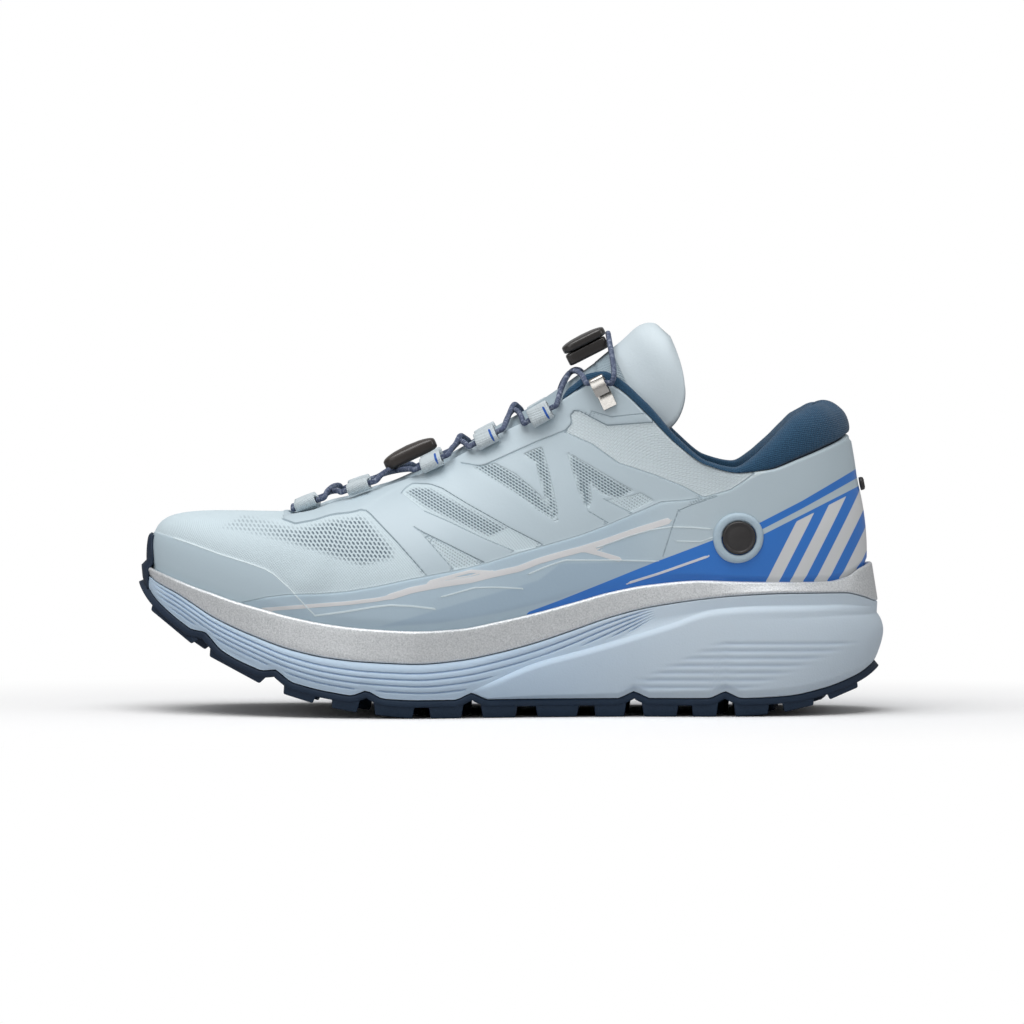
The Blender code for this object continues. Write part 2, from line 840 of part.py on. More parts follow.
def edge_point(q):
    """Point on the edge of the throat and collar."""
    side, around = around_of(q)
    x = x_at(column(opening_edge, "share", around))
    centre = column(opening_edge, "centre", around) * ball_width
    half = column(opening_edge, "half", around) * ball_width
    return Vector((x, centre + side * half, column(opening_edge, "height", around) * instep_height))


def upper_point(q, v):
    """Outer surface of the upper: q around the shoe, v from the rim to the edge."""
    around = around_of(q)[1]
    inside = rim_wall + piece_gap
    low = rim_point(q, inside, piece_gap)
    high = edge_point(q)
    step = 0.004
    along = rim_point(q + step, inside, 0) - rim_point(q - step, inside, 0)
    out = Vector((along.y, -along.x, 0)).normalized()
    across = Vector((high.x - low.x, high.y - low.y, 0))
    rise = high.z - low.z

    def value(name):
        return column(upper_fullness, name, around)

    flare = value("flare") * ball_width
    belly = value("belly") * ball_width
    lower = low + out * flare + Vector((0, 0, rise * value("rise")))
    upper = high - across * value("reach") - Vector((0, 0, rise * value("drop"))) + out * belly
    w = 1 - v
    return low * w**3 + lower * 3 * w * w * v + upper * 3 * w * v * v + high * v**3


def upper_normal(q, v):
    step = 0.006
    low, high = max(v - step, 0.0), min(v + step, 1.0)
    along = upper_point(q + step, v) - upper_point(q - step, v)
    up = upper_point(q, high) - upper_point(q, low)
    return along.cross(up).normalized()


def upper_offset(q, v, out):
    return upper_point(q, v) + upper_normal(q, v) * out


def overlay_bands(q):
    """Heights v with the overlay's step at each, from rim to edge."""
    around = around_of(q)[1]
    guard = column(overlay_lines, "mudguard", around)
    stay = column(overlay_lines, "eyestay", around)
    guard_up = overlay_step * column(overlay_lines, "mudguard_step", around)
    stay_up = overlay_step * column(overlay_lines, "eyestay_step", around)
    field = overlay_step * column(overlay_lines, "field_step", around)
    slope = 0.010
    bands = [(0.0, 0.0), (0.05, guard_up), (guard * 0.55, guard_up), (guard, guard_up)]
    bands += [(guard + slope, field)]
    free = stay - guard - 2 * slope
    bands += [(guard + slope + free * k / upper_bands, field) for k in range(1, upper_bands)]
    bands += [(stay - slope, field), (stay, stay_up), ((stay + 1) / 2, stay_up), (1.0, stay_up)]
    return bands


def upper_places():
    """Places around the upper, at the same stations as the sole below it."""
    half = [math.acos(1 - 2 * u) / math.pi for u in sole_shares()]
    return half + [2 - q for q in half[-2:0:-1]]


def build_upper():
    """Hollow upper, open at throat, collar and underneath."""
    places = upper_places()
    count = len(places)
    inside = rim_wall + piece_gap
    skirt_foot = piece_gap - rim_rebate
    outer = [[rim_point(q, inside, skirt_foot) for q in places]]
    levels = len(overlay_bands(0.0))
    for k in range(levels):
        ring = []
        for q in places:
            v, out = overlay_bands(q)[k]
            ring.append(upper_offset(q, v, out))
        outer.append(ring)
    inner_levels = [0, 2, 4, 5, 7, 9, 10, 11]
    inner = []
    for k in reversed(inner_levels):
        inner.append([upper_offset(q, overlay_bands(q)[k][0], -upper_wall) for q in places])
    inner.append([rim_point(q, inside + upper_wall, skirt_foot) for q in places])
    rings = outer + inner
    points = [p for ring in rings for p in ring]
    faces = ring_walls(rings)
    last = len(points) - count
    faces += [(last + i, last + (i + 1) % count, (i + 1) % count, i) for i in range(count)]
    return place("upper", points, faces, ice_film())


def build_toe_guard():
    """Rubber guard glued over the front of the toe, above the outsole's tip."""
    reach = 0.060
    across = 8
    rows = (0.015, 0.08, 0.15, 0.22)
    places = [-reach + 2 * reach * i / across for i in range(across + 1)]

    def face(out):
        grid = []
        for v in rows:
            taper = 1 - 0.30 * ease(0.05, 0.25, v)
            grid.append([upper_offset(q * taper, v, out) for q in places])
        return grid

    outer = face(overlay_step + piece_gap + guard_thickness)
    inner = face(overlay_step + piece_gap)
    return slab("toe_guard", outer, inner, navy_rubber())


def slab(name, outer, inner, finish):
    """Closed sheet between two grids of equal size."""
    rows, columns = len(outer), len(outer[0])
    points = [p for line in outer for p in line] + [p for line in inner for p in line]
    back = rows * columns
    faces = []
    for r in range(rows - 1):
        for c in range(columns - 1):
            a = r * columns + c
            quad = (a, a + 1, a + columns + 1, a + columns)
            faces.append(quad)
            faces.append(tuple(back + k for k in reversed(quad)))
    border = [c for c in range(columns)]
    border += [r * columns + columns - 1 for r in range(1, rows)]
    border += [(rows - 1) * columns + c for c in range(columns - 2, -1, -1)]
    border += [r * columns for r in range(rows - 2, 0, -1)]
    for i, a in enumerate(border):
        b = border[(i + 1) % len(border)]
        faces.append((b, a, back + a, back + b))
    return place(name, points, faces, finish)


def collar_section(q):
    """Closed section of the collar padding at a place around the shoe."""
    around = around_of(q)[1]
    rise = column(collar_sizes, "rise", around) * collar_pad_height
    depth = column(collar_sizes, "depth", around) * collar_pad_depth
    reach = column(collar_sizes, "reach", around)
    edge = edge_point(q)
    normal = upper_normal(q, 1.0)
    level = Vector((normal.x, normal.y, 0)).normalized()
    up = Vector((0, 0, 1))
    section = []
    for inward, upward in collar_profile:
        section.append(edge - level * inward * depth + up * (collar_seat + upward * rise))
    thick = upper_wall + collar_seat
    for back, full in ((0.86, 1.0), (0.50, 0.8), (0.0, 0.35)):
        v = 1 - reach * (1 - back)
        section.append(upper_offset(q, v, -thick - max(depth * full - upper_wall, 0.0012)))
    for back in (0.0, 0.5, 0.86):
        v = 1 - reach * (1 - back)
        section.append(upper_offset(q, v, -thick))
    section.append(edge - level * (thick + 0.0002) + up * collar_seat * 0.4)
    return section


def build_collar():
    places = [q for q in upper_places() if collar_first < q < 2 - collar_first]
    rings = [collar_section(q) for q in places]
    count = len(rings[0])
    points = [p for ring in rings for p in ring]
    faces = ring_walls(rings)
    faces.append(tuple(range(count)))
    last = len(points) - count
    faces.append(tuple(range(last + count - 1, last - 1, -1)))
    return place("collar", points, faces, navy_textile())


def tongue_across(around, share):
    """Outer face of the tongue between the eyestays, share 0 to 1 across."""
    under = upper_wall + tongue_seat
    left = upper_offset(around, 0.995, -under)
    right = upper_offset(2 - around, 0.995, -under)
    crown = column(ridge_crown, "crown", around) * sole_length
    lift = crown * math.sin(math.pi * share) ** 0.8
    return left.lerp(right, share) + Vector((0, 0, lift))


def tongue_row(around):
    """Points across the tongue, under the eyestays and over the instep."""
    under = upper_wall + tongue_seat
    row = [upper_offset(around, v, -under) for v in tongue_wings]
    row += [tongue_across(around, share) for share in (0.0, *across_shares, 1.0)]
    return row + [upper_offset(2 - around, v, -under) for v in reversed(tongue_wings)]


def toe_row(name):
    """Row of the tongue's front, tucked under the vamp."""
    under = upper_wall + 2 * tongue_seat
    half = [upper_offset(row[1], row[tongue_toe[0].index(name)], -under) for row in tongue_toe[1:]]
    other = [
        upper_offset(2 - row[1], row[tongue_toe[0].index(name)], -under)
        for row in reversed(tongue_toe[1:-1])
    ]
    return half + other


def free_tongue_row(around):
    """Points across the tongue above the top hooks."""
    ridge = Vector((x_at(column(tongue_ridge, "share", around)), 0, 0))
    ridge.z = column(tongue_ridge, "height", around) * tongue_height
    half = column(tongue_ridge, "half", around) * ball_width
    fall = column(tongue_ridge, "fall", around) * tongue_height
    trail = column(tongue_ridge, "trail", around) * sole_length
    centre = column(opening_edge, "centre", 0.6) * ball_width
    row = []
    for share in (-1, -0.84, -0.66, -0.44, -0.22, 0, 0.22, 0.44, 0.66, 0.84, 1):
        angle = share * math.pi / 2
        y = centre + half * math.sin(angle)
        sink = 1 - math.cos(angle)
        row.append(ridge + Vector((trail * sink, y, -fall * sink)))
    return row


def build_tongue():
    first, last = 0.125, 0.545
    steps = 8
    rows = [toe_row("front"), toe_row("back")]
    rows += [tongue_row(blend(first, last, k / steps)) for k in range(steps + 1)]
    rows += [free_tongue_row(row[0]) for row in tongue_ridge[1:]]

    def normal(r, c):
        up = rows[min(r + 1, len(rows) - 1)][c] - rows[max(r - 1, 0)][c]
        line = rows[r]
        over = line[min(c + 1, len(line) - 1)] - line[max(c - 1, 0)]
        return up.cross(over).normalized()

    inner = []
    for r, line in enumerate(rows):
        thin = []
        for c, p in enumerate(line):
            edge = min(c, len(line) - 1 - c, len(rows) - 1 - r + 1, r)
            share = (0.45, 0.8, 1.0)[min(edge, 2)]
            thin.append(p - normal(r, c) * tongue_thickness * share)
        inner.append(thin)
    return slab("tongue", rows, inner, ice_film())


def edge_frame(q, v=1.0):
    """Directions along the edge, up the upper, and out from it."""
    along = (upper_point(q + 0.006, v) - upper_point(q - 0.006, v)).normalized()
    out = upper_normal(q, v)
    return along, out.cross(along).normalized(), out


def loop_centre(side, station):
    q = station if side == lateral else 2 - station
    along, up, out = edge_frame(q)
    if side == medial:
        along = -along
    if up.z < 0:
        up = -up
    lift = loop_height / 2 + piece_gap + overlay_step + loop_lifts[loop_stations.index(station)]
    centre = edge_point(q) + out * lift + up * loop_width * 0.10
    return centre, along, up, out


def stadium(width, height, corners=3):
    """Outline of a flattened loop, counter-clockwise."""
    radius = height / 2
    flat = width / 2 - radius
    outline = []
    for end, start in ((1, -math.pi / 2), (-1, math.pi / 2)):
        for k in range(corners + 1):
            angle = start + math.pi * k / corners
            outline.append((end * flat + radius * math.cos(angle), radius * math.sin(angle)))
    return outline


def build_loop(name, side, station):
    """Webbing loop folded over the eyestay's edge, with the lace's channel."""
    centre, along, up, out = loop_centre(side, station)
    outside = stadium(loop_width, loop_height)
    channel = stadium(loop_width - 2 * loop_web, loop_height - 2 * loop_web)
    rings = []
    for outline, end in ((outside, -1), (outside, 1), (channel, 1), (channel, -1)):
        base = centre + along * end * loop_length / 2
        rings.append([base + up * a + out * b for a, b in outline])
    rings.append(rings[0])
    points = [p for ring in rings for p in ring]
    return place(name, points, ring_walls(rings), webbing())


def cord(name, path, finish, sides=cord_sides):
    """Round cord along a smooth path, as a closed mesh."""
    curve = bpy.data.curves.new(name, "CURVE")
    curve.dimensions = "3D"
    curve.bevel_depth = lace_diameter / 2
    curve.bevel_resolution = (sides - 4) // 2
    curve.use_fill_caps = True
    spline = curve.splines.new("POLY")
    spline.points.add(len(path) - 1)
    for point, at in zip(spline.points, path):
        point.co = (*at, 1.0)
    drawn = bpy.data.objects.new(name, curve)
    parts.objects.link(drawn)
    bpy.context.view_layer.update()
    graph = bpy.context.evaluated_depsgraph_get()
    mesh = bpy.data.meshes.new_from_object(drawn.evaluated_get(graph))
    bpy.data.objects.remove(drawn)
    edit = bmesh.new()
    edit.from_mesh(mesh)
    bmesh.ops.remove_doubles(edit, verts=edit.verts, dist=1e-5)
    bmesh.ops.recalc_face_normals(edit, faces=edit.faces)
    edit.to_mesh(mesh)
    edit.free()
    mesh.materials.clear()
    mesh.materials.append(finish)
    mesh.shade_smooth()
    shown = bpy.data.objects.new(name, mesh)
    parts.objects.link(shown)
    return shown


def smooth_path(points, steps):
    """Points on a smooth curve through the given ones."""
    path = []
    for i in range(len(points) - 1):
        before = points[max(i - 1, 0)]
        start, end = points[i], points[i + 1]
        after = points[min(i + 2, len(points) - 1)]
        for k in range(steps):
            u = k / steps
            path.append(
                0.5
                * (
                    2 * start
                    + (end - before) * u
                    + (2 * before - 5 * start + 4 * end - after) * u * u
                    + (3 * start - before - 3 * end + after) * u**3
                )
            )
    return path + [points[-1]]


def mouth(side, index, end):
    """Where the lace leaves a loop: end -1 towards the toe, 1 towards the heel."""
    centre, along, up, out = loop_centre(side, loop_stations[index])
    clear = loop_length / 2 + 0.0008
    return centre + along * end * clear, along * end


def hook_seat(side):
    """Where a top hook stands on the eyestay, with its directions."""
    q = hook_station if side == lateral else 2 - hook_station
    along, up, out = edge_frame(q, hook_drop)
    if side == medial:
        along = -along
    if up.z < 0:
        up = -up
    foot = upper_offset(q, hook_drop, overlay_step + 2 * piece_gap)
    return foot, up, out, along


def hook_mouth(side, end):
    """Where the lace enters a hook: end -1 towards the toe, 1 towards the heel."""
    foot, up, out, along = hook_seat(side)
    inside = hook_length * 0.55 - lace_diameter / 2 - 0.0006
    seat = foot + up * inside + out * (hook_sheet + hook_throat / 2)
    return seat + along * end * (hook_width / 2 + 0.0006), along * end


def around_at(x):
    """Place around the shoe where the throat's edge is at this x."""
    low, high = 0.12, 0.60
    for _ in range(24):
        middle = (low + high) / 2
        if x_at(column(opening_edge, "share", middle)) < x:
            low = middle
        else:
            high = middle
    return low


def strand(start, leaving, end, arriving, clearance):
    """Lace from one mouth over the tongue to another."""
    first = start + leaving * 0.0022
    last = end + arriving * 0.0022
    path = [start, first]
    sides = (0.0, 1.0) if start.y < end.y else (1.0, 0.0)
    for share in (0.24, 0.5, 0.76):
        x = blend(first.x, last.x, share)
        over = tongue_across(around_at(x), blend(*sides, share))
        path.append(Vector((x, over.y, over.z + lace_diameter / 2 + clearance)))
    return path + [last, end]


def build_crossing(index):
    """Two strands that cross over the tongue between two pairs of loops or hooks."""
    name = f"lace_crossing_{index + 1}"
    strands = []
    for side in (lateral, medial):
        start, leaving = mouth(side, index, 1)
        if index + 1 < len(loop_stations):
            end, arriving = mouth(-side, index + 1, -1)
        else:
            end, arriving = hook_mouth(-side, -1)
        path = strand(start, leaving, end, arriving, 0.0010)
        strands.append(cord(f"{name}_{side}", path, cord_finish()))
    first, second = strands
    join_solid(first, second)
    first.name = name
    return first


def build_front_bar():
    start, leaving = mouth(lateral, 0, -1)
    end, arriving = mouth(medial, 0, -1)
    path = strand(start, leaving * 0.4, end, arriving * 0.4, 0.0022)
    return cord("lace_front_bar", path, cord_finish())


def build_top_bar():
    """Lace from hook to hook, over the tongue behind the cord lock."""
    start, leaving = hook_mouth(lateral, 1)
    end, arriving = hook_mouth(medial, 1)
    middle = fastener_seat("lock") @ Vector((lock_length / 2 + lace_diameter * 0.62, 0, 0))
    rise = column(collar_sizes, "rise", top_bar_station) * collar_pad_height
    path = [start, start + leaving * 0.0012]
    for side, station in ((lateral, top_bar_station), (medial, 2 - top_bar_station)):
        rim = edge_point(station) + Vector((0, side * 0.0010, rise + lace_diameter))
        beside = middle + Vector((0, side * 0.0040, -0.0006))
        path += [rim, beside] if side == lateral else [beside, rim]
    path += [end + arriving * 0.0012, end]
    return cord("lace_top_bar", smooth_path(path, 2), cord_finish())


def bent_sheet(name, profile, width, frame, finish):
    """Sheet metal: a profile of outer and inner points pulled to a width."""
    origin, first, second, across = frame
    rings = []
    for side in (-0.5, 0.5):
        rings.append([origin + first * a + second * b + across * side * width for a, b in profile])
    points = rings[0] + rings[1]
    count = len(profile)
    faces = ring_walls(rings)
    faces += [tuple(range(count - 1, -1, -1)), tuple(range(count, 2 * count))]
    return place(name, points, faces, finish)


def build_hook(name, side):
    """Speed hook: a plate on the eyestay with a lip that catches the lace."""
    foot, up, out, along = hook_seat(side)
    t, gape = hook_sheet, hook_throat
    low, high = -hook_length * 0.45, hook_length * 0.55
    profile = (
        (low, 0.0),
        (high, 0.0),
        (high + t, t * 0.6),
        (high + t, t + gape),
        (high, 2 * t + gape),
        (high - hook_length * 0.45, 2 * t + gape),
        (high - hook_length * 0.45, t + gape),
        (high - t * 0.4, t + gape),
        (high - t * 0.4, t),
        (low, t),
    )
    return bent_sheet(name, profile, hook_width, (foot, up, out, along), steel())


def block(name, seat, size, bevel, finish):
    """Rounded block at a seat."""
    made = bmesh.new()
    bmesh.ops.create_cube(made, size=1.0)
    bmesh.ops.scale(made, vec=size, verts=made.verts)
    bmesh.ops.bevel(
        made,
        geom=list(made.edges),
        offset=bevel,
        segments=2,
        profile=0.5,
        affect="EDGES",
    )
    bmesh.ops.transform(made, matrix=seat, verts=made.verts)
    mesh = bpy.data.meshes.new(name)
    made.to_mesh(mesh)
    made.free()
    mesh.materials.append(finish)
    mesh.shade_smooth()
    mesh.set_sharp_from_angle(angle=math.radians(40))
    shown = bpy.data.objects.new(name, mesh)
    parts.objects.link(shown)
    return shown


def fastener_seat(name):
    row = next(r for r in fastener_seats[1:] if r[0] == name)
    y = column(opening_edge, "centre", 0.5) * ball_width
    turn = Matrix.Rotation(-math.radians(row[3]), 4, "Y")
    return Matrix.Translation((x_at(row[1]), y, row[2])) @ turn


def build_lock():
    """Cord lock in two shells, on the lace above the tongue."""
    seat = fastener_seat("lock")
    base = lock_height * 0.58
    cover = lock_height - base - piece_gap
    low = seat @ Matrix.Translation((0, 0, (base - lock_height) / 2))
    high = seat @ Matrix.Translation((0.0006, 0, (lock_height - cover) / 2))
    block("cord_lock_body", low, (lock_length * 0.94, lock_width * 0.92, base), 0.0014, black_plastic())
    block("cord_lock_cover", high, (lock_length, lock_width, cover), 0.0012, black_plastic())


def build_keeper():
    seat = fastener_seat("keeper")
    size = (keeper_length, keeper_width, keeper_height)
    return block("lace_keeper", seat, size, 0.0018, black_plastic())


def on_upper(seat, along, up, out):
    """Point on the upper near a seat, at distances along and up its surface."""
    q, v = seat
    step = 0.004
    run = (upper_point(q + step, v) - upper_point(q - step, v)) / (2 * step)
    climb = (upper_point(q, v + step) - upper_point(q, v - step)) / (2 * step)
    ahead = run.normalized()
    square = (climb - ahead * climb.dot(ahead)).normalized()
    move_v = up / climb.dot(square)
    move_q = (along - climb.dot(ahead) * move_v) / run.length
    return upper_offset(q + move_q, v + move_v, out)


def round_fitting(name, seat, outline, finish, sides=20):
    """Turned fitting that follows the upper: outline of radius and height."""
    rings = []
    for radius, height in outline:
        ring = []
        for k in range(sides):
            angle = 2 * math.pi * k / sides
            reach = (radius * math.cos(angle), radius * math.sin(angle))
            ring.append(on_upper(seat, *reach, height))
        rings.append(ring)
    points = [p for ring in rings for p in ring]
    return place(name, points, ring_walls(rings), finish)


def build_fittings():
    """Gaiter snap with its ring on the outer side, and the stud at the heel."""
    floor = overlay_step + piece_gap
    radius = snap_diameter / 2
    disc = ((0.0, floor), (radius, floor), (radius, floor + snap_height * 0.6))
    disc += ((radius * 0.88, floor + snap_height), (0.0, floor + snap_height))
    round_fitting("gaiter_snap", snap_seat, disc, black_plastic())
    inner = radius + piece_gap
    outer = inner + snap_ring_width
    high = floor + snap_height * 0.6
    ring = ((inner, floor), (outer, floor), (outer - 0.0008, high), (inner, high), (inner, floor))
    round_fitting("gaiter_snap_ring", snap_seat, ring, ice_film(), 24)
    half = stud_diameter / 2
    stud = ((0.0, floor), (half, floor), (half, floor + stud_height * 0.6))
    stud += ((half * 0.8, floor + stud_height), (0.0, floor + stud_height))
    round_fitting("heel_stud", stud_seat, stud, black_plastic(), 14)


def build():
    build_outsole()
    build_midsole()
    build_carrier()
    build_insole()
    build_upper()
    build_toe_guard()
    build_collar()
    build_tongue()
    for side, word in ((lateral, "lateral"), (medial, "medial")):
        for k, station in enumerate(loop_stations):
            build_loop(f"lace_loop_{word}_{k + 1}", side, station)
        build_hook(f"lace_hook_{word}", side)
    build_front_bar()
    for index in range(len(loop_stations)):
        build_crossing(index)
    build_top_bar()
    build_lock()
    build_keeper()
    build_fittings()


for old in list(bpy.data.objects):
    bpy.data.objects.remove(old)
parts = bpy.data.collections.new("trail_running_shoe")
bpy.context.scene.collection.children.link(parts)
build()
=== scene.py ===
# Trail running shoe, left foot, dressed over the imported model.
# Metres, +X from toe to heel, +Y to the inner side, +Z up.

import math

import bmesh
import bpy
import numpy as np
from mathutils import Matrix, Vector


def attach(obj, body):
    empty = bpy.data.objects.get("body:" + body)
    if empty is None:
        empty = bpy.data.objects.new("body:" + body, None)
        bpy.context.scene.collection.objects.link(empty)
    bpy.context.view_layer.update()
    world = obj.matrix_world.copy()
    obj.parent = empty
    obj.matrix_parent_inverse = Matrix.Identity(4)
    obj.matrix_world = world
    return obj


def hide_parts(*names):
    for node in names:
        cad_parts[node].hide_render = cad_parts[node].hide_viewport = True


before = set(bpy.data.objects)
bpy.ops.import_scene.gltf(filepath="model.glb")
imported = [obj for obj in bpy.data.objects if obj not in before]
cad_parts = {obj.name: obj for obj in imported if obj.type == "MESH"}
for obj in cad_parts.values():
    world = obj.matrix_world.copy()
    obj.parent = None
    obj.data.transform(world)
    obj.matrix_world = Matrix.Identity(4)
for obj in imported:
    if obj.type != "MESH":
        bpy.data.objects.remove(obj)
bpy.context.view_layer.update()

shoe = {  # metres
    "length": 0.292,
    "ballWidth": 0.111,
    "soleHeight": 0.06,
    "instepHeight": 0.13,
    "tongueHeight": 0.151,
    "gap": 0.0003,
    "wall": 0.002,
    "overlayStep": 0.0006,
    "rimWall": 0.0022,
    "rimRebate": 0.0042,  # how deep the upper's foot stands inside the rim
}

picture = {
    "pixel": 0.391,  # millimetres of shoe to a pixel
    "middle": 512.5,
    "ground": 716.0,
    "lift": 2.0,
    "tilt": math.radians(2.5),
    "lens": 450.0,
    "away": 5.0,
}

lateral = -1  # the outer side
medial = 1  # the inner side

# heights of the sole's lines at shares of the length, as shares of the sole's height
soleLines = (
    ("share", "outsole", "carrier", "rim", "bed", "tread"),
    (0.003, 0.922, 0.935, 0.955, 0.842, 0.073),
    (0.006, 0.885, 0.918, 0.952, 0.84, 0.073),
    (0.01, 0.838, 0.895, 0.946, 0.836, 0.073),
    (0.016, 0.789, 0.876, 0.938, 0.829, 0.073),
    (0.024, 0.74, 0.848, 0.923, 0.813, 0.074),
    (0.034, 0.694, 0.823, 0.906, 0.794, 0.074),
    (0.051, 0.627, 0.784, 0.876, 0.757, 0.075),
    (0.077, 0.539, 0.709, 0.83, 0.71, 0.075),
    (0.1, 0.467, 0.64, 0.795, 0.67, 0.076),
    (0.128, 0.382, 0.575, 0.75, 0.625, 0.077),
    (0.155, 0.323, 0.522, 0.715, 0.59, 0.078),
    (0.205, 0.232, 0.437, 0.653, 0.533, 0.088),
    (0.256, 0.171, 0.385, 0.607, 0.49, 0.096),
    (0.308, 0.136, 0.36, 0.58, 0.463, 0.105),
    (0.376, 0.118, 0.348, 0.565, 0.45, 0.118),
    (0.43, 0.118, 0.368, 0.577, 0.46, 0.118),
    (0.48, 0.118, 0.413, 0.62, 0.487, 0.118),
    (0.53, 0.118, 0.475, 0.673, 0.525, 0.118),
    (0.58, 0.118, 0.555, 0.738, 0.563, 0.118),
    (0.63, 0.118, 0.638, 0.805, 0.597, 0.118),
    (0.683, 0.118, 0.703, 0.853, 0.62, 0.118),
    (0.751, 0.118, 0.753, 0.88, 0.633, 0.118),
    (0.8, 0.118, 0.777, 0.873, 0.633, 0.118),
    (0.865, 0.13, 0.79, 0.867, 0.63, 0.1),
    (0.918, 0.18, 0.788, 0.865, 0.633, 0.083),
    (0.945, 0.224, 0.784, 0.89, 0.642, 0.079),
    (0.965, 0.266, 0.76, 0.945, 0.651, 0.076),
    (0.985, 0.332, 0.719, 0.977, 0.667, 0.072),
    (1.0, 0.402, 0.692, 0.972, 0.672, 0.07),
)

# top of the raised heel block
blockLines = (
    ("share", "top"),
    (0.43, 0.15),
    (0.452, 0.19),
    (0.529, 0.35),
    (0.605, 0.45),
    (0.657, 0.523),
    (0.708, 0.6),
    (0.77, 0.695),
    (0.832, 0.715),
    (0.925, 0.715),
    (1.0, 0.68),
)

# the sole from above: middle line and half width, as shares of the ball's width
solePlan = (
    ("share", "centre", "half"),
    (0.0, 0.09, 0.47),
    (0.05, 0.075, 0.467),
    (0.1, 0.057, 0.462),
    (0.2, 0.025, 0.474),
    (0.3, 0.001, 0.496),
    (0.36, -0.006, 0.5),
    (0.45, -0.012, 0.448),
    (0.55, -0.008, 0.392),
    (0.65, 0.002, 0.377),
    (0.75, 0.011, 0.391),
    (0.85, 0.016, 0.398),
    (1.0, 0.022, 0.4),
)

# the upper's edge round the throat and the collar, from the toe end to the heel
openingEdge = (
    ("around", "share", "centre", "half", "height"),
    (0.0, 0.199, 0.052, 0.0, 0.5977),
    (0.05, 0.1997, 0.052, 0.034, 0.5979),
    (0.1, 0.203, 0.052, 0.066, 0.5946),
    (0.15, 0.209, 0.052, 0.09, 0.59),
    (0.2, 0.22, 0.052, 0.106, 0.5886),
    (0.25, 0.2385, 0.05, 0.118, 0.6021),
    (0.3, 0.266, 0.048, 0.13, 0.6277),
    (0.35, 0.304, 0.045, 0.144, 0.6573),
    (0.4, 0.352, 0.04, 0.158, 0.692),
    (0.45, 0.415, 0.035, 0.176, 0.7539),
    (0.5, 0.483, 0.03, 0.194, 0.8347),
    (0.54, 0.537, 0.028, 0.212, 0.8935),
    (0.57, 0.581, 0.026, 0.226, 0.9571),
    (0.585, 0.6, 0.025, 0.235, 0.9854),
    (0.6, 0.62, 0.024, 0.246, 0.9919),
    (0.615, 0.64, 0.023, 0.258, 0.9724),
    (0.64, 0.677, 0.022, 0.28, 0.8992),
    (0.67, 0.719, 0.021, 0.306, 0.8052),
    (0.7, 0.758, 0.02, 0.322, 0.7449),
    (0.74, 0.802, 0.019, 0.328, 0.7206),
    (0.78, 0.842, 0.018, 0.314, 0.7286),
    (0.82, 0.878, 0.018, 0.28, 0.7564),
    (0.87, 0.914, 0.018, 0.212, 0.7878),
    (0.92, 0.937, 0.018, 0.134, 0.8099),
    (0.96, 0.948, 0.018, 0.066, 0.8244),
    (1.0, 0.9505, 0.018, 0.0, 0.8262),
)

# how the upper's section swells between the rim and that edge
upperFullness = (
    ("around", "rise", "flare", "reach", "drop", "belly"),
    (0.0, 1.18, 0.008, 0.86, 0.0, 0.0),
    (0.1, 1.12, 0.012, 0.82, 0.0, 0.0),
    (0.2, 0.92, 0.022, 0.74, 0.0, 0.0),
    (0.3, 0.66, 0.03, 0.62, 0.04, 0.0),
    (0.4, 0.5, 0.03, 0.56, 0.14, 0.0),
    (0.5, 0.44, 0.024, 0.5, 0.22, 0.0),
    (0.6, 0.38, 0.016, 0.34, 0.32, 0.0),
    (0.7, 0.34, 0.014, 0.18, 0.34, 0.004),
    (0.8, 0.34, 0.018, 0.1, 0.36, 0.012),
    (0.9, 0.34, 0.012, 0.06, 0.4, 0.022),
    (1.0, 0.34, 0.006, 0.04, 0.42, 0.03),
)


def column(table, name, at):
    # value of a named column on a smooth curve that never overshoots
    rows = table[1:]
    place = table[0].index(name)
    keys = [row[0] for row in rows]
    values = [row[place] for row in rows]
    if at <= keys[0]:
        return values[0]
    if at >= keys[-1]:
        return values[-1]
    k = max(i for i in range(len(keys) - 1) if keys[i] <= at)

    def slope(i):
        if i == 0 or i == len(keys) - 1:
            j = max(i - 1, 0)
            return (values[j + 1] - values[j]) / (keys[j + 1] - keys[j])
        before = (values[i] - values[i - 1]) / (keys[i] - keys[i - 1])
        after = (values[i + 1] - values[i]) / (keys[i + 1] - keys[i])
        if before * after <= 0:
            return 0.0
        return 2 * before * after / (before + after)

    width = keys[k + 1] - keys[k]
    u = (at - keys[k]) / width
    start = (2 * u**3 - 3 * u**2 + 1) * values[k]
    end = (3 * u**2 - 2 * u**3) * values[k + 1]
    leave = (u**3 - 2 * u**2 + u) * width * slope(k)
    arrive = (u**3 - u**2) * width * slope(k + 1)
    return start + end + leave + arrive


def blend(a, b, share):
    return a + (b - a) * share


def ease(low, high, at):
    u = min(max((at - low) / (high - low), 0.0), 1.0)
    return u * u * (3 - 2 * u)


def easeAll(low, high, values):
    u = np.clip((values - low) / (high - low), 0.0, 1.0)
    return u * u * (3 - 2 * u)


def xAt(share):
    return (share - 0.5) * shoe["length"]


flexGrooves = {
    "shares": (0.0925, 0.187, 0.3075, 0.4466, 0.662, 0.783),
    "rise": 0.0027,
    "width": 0.012,
}


def smoothLine(share):
    return column(soleLines, "outsole", share) * shoe["soleHeight"]


def outsoleLine(share):
    # the sole line with a rounded notch at each flex groove
    half = flexGrooves["width"] / shoe["length"] / 2
    nearest = min(abs(share - groove) for groove in flexGrooves["shares"])
    tent = max(0.0, 1 - nearest / half)
    return smoothLine(share) + flexGrooves["rise"] * (tent * 0.75 + 0.25 * ease(0.0, 1.0, tent))


def carrierLine(share):
    return column(soleLines, "carrier", share) * shoe["soleHeight"]


def rimLine(share):
    return column(soleLines, "rim", share) * shoe["soleHeight"]


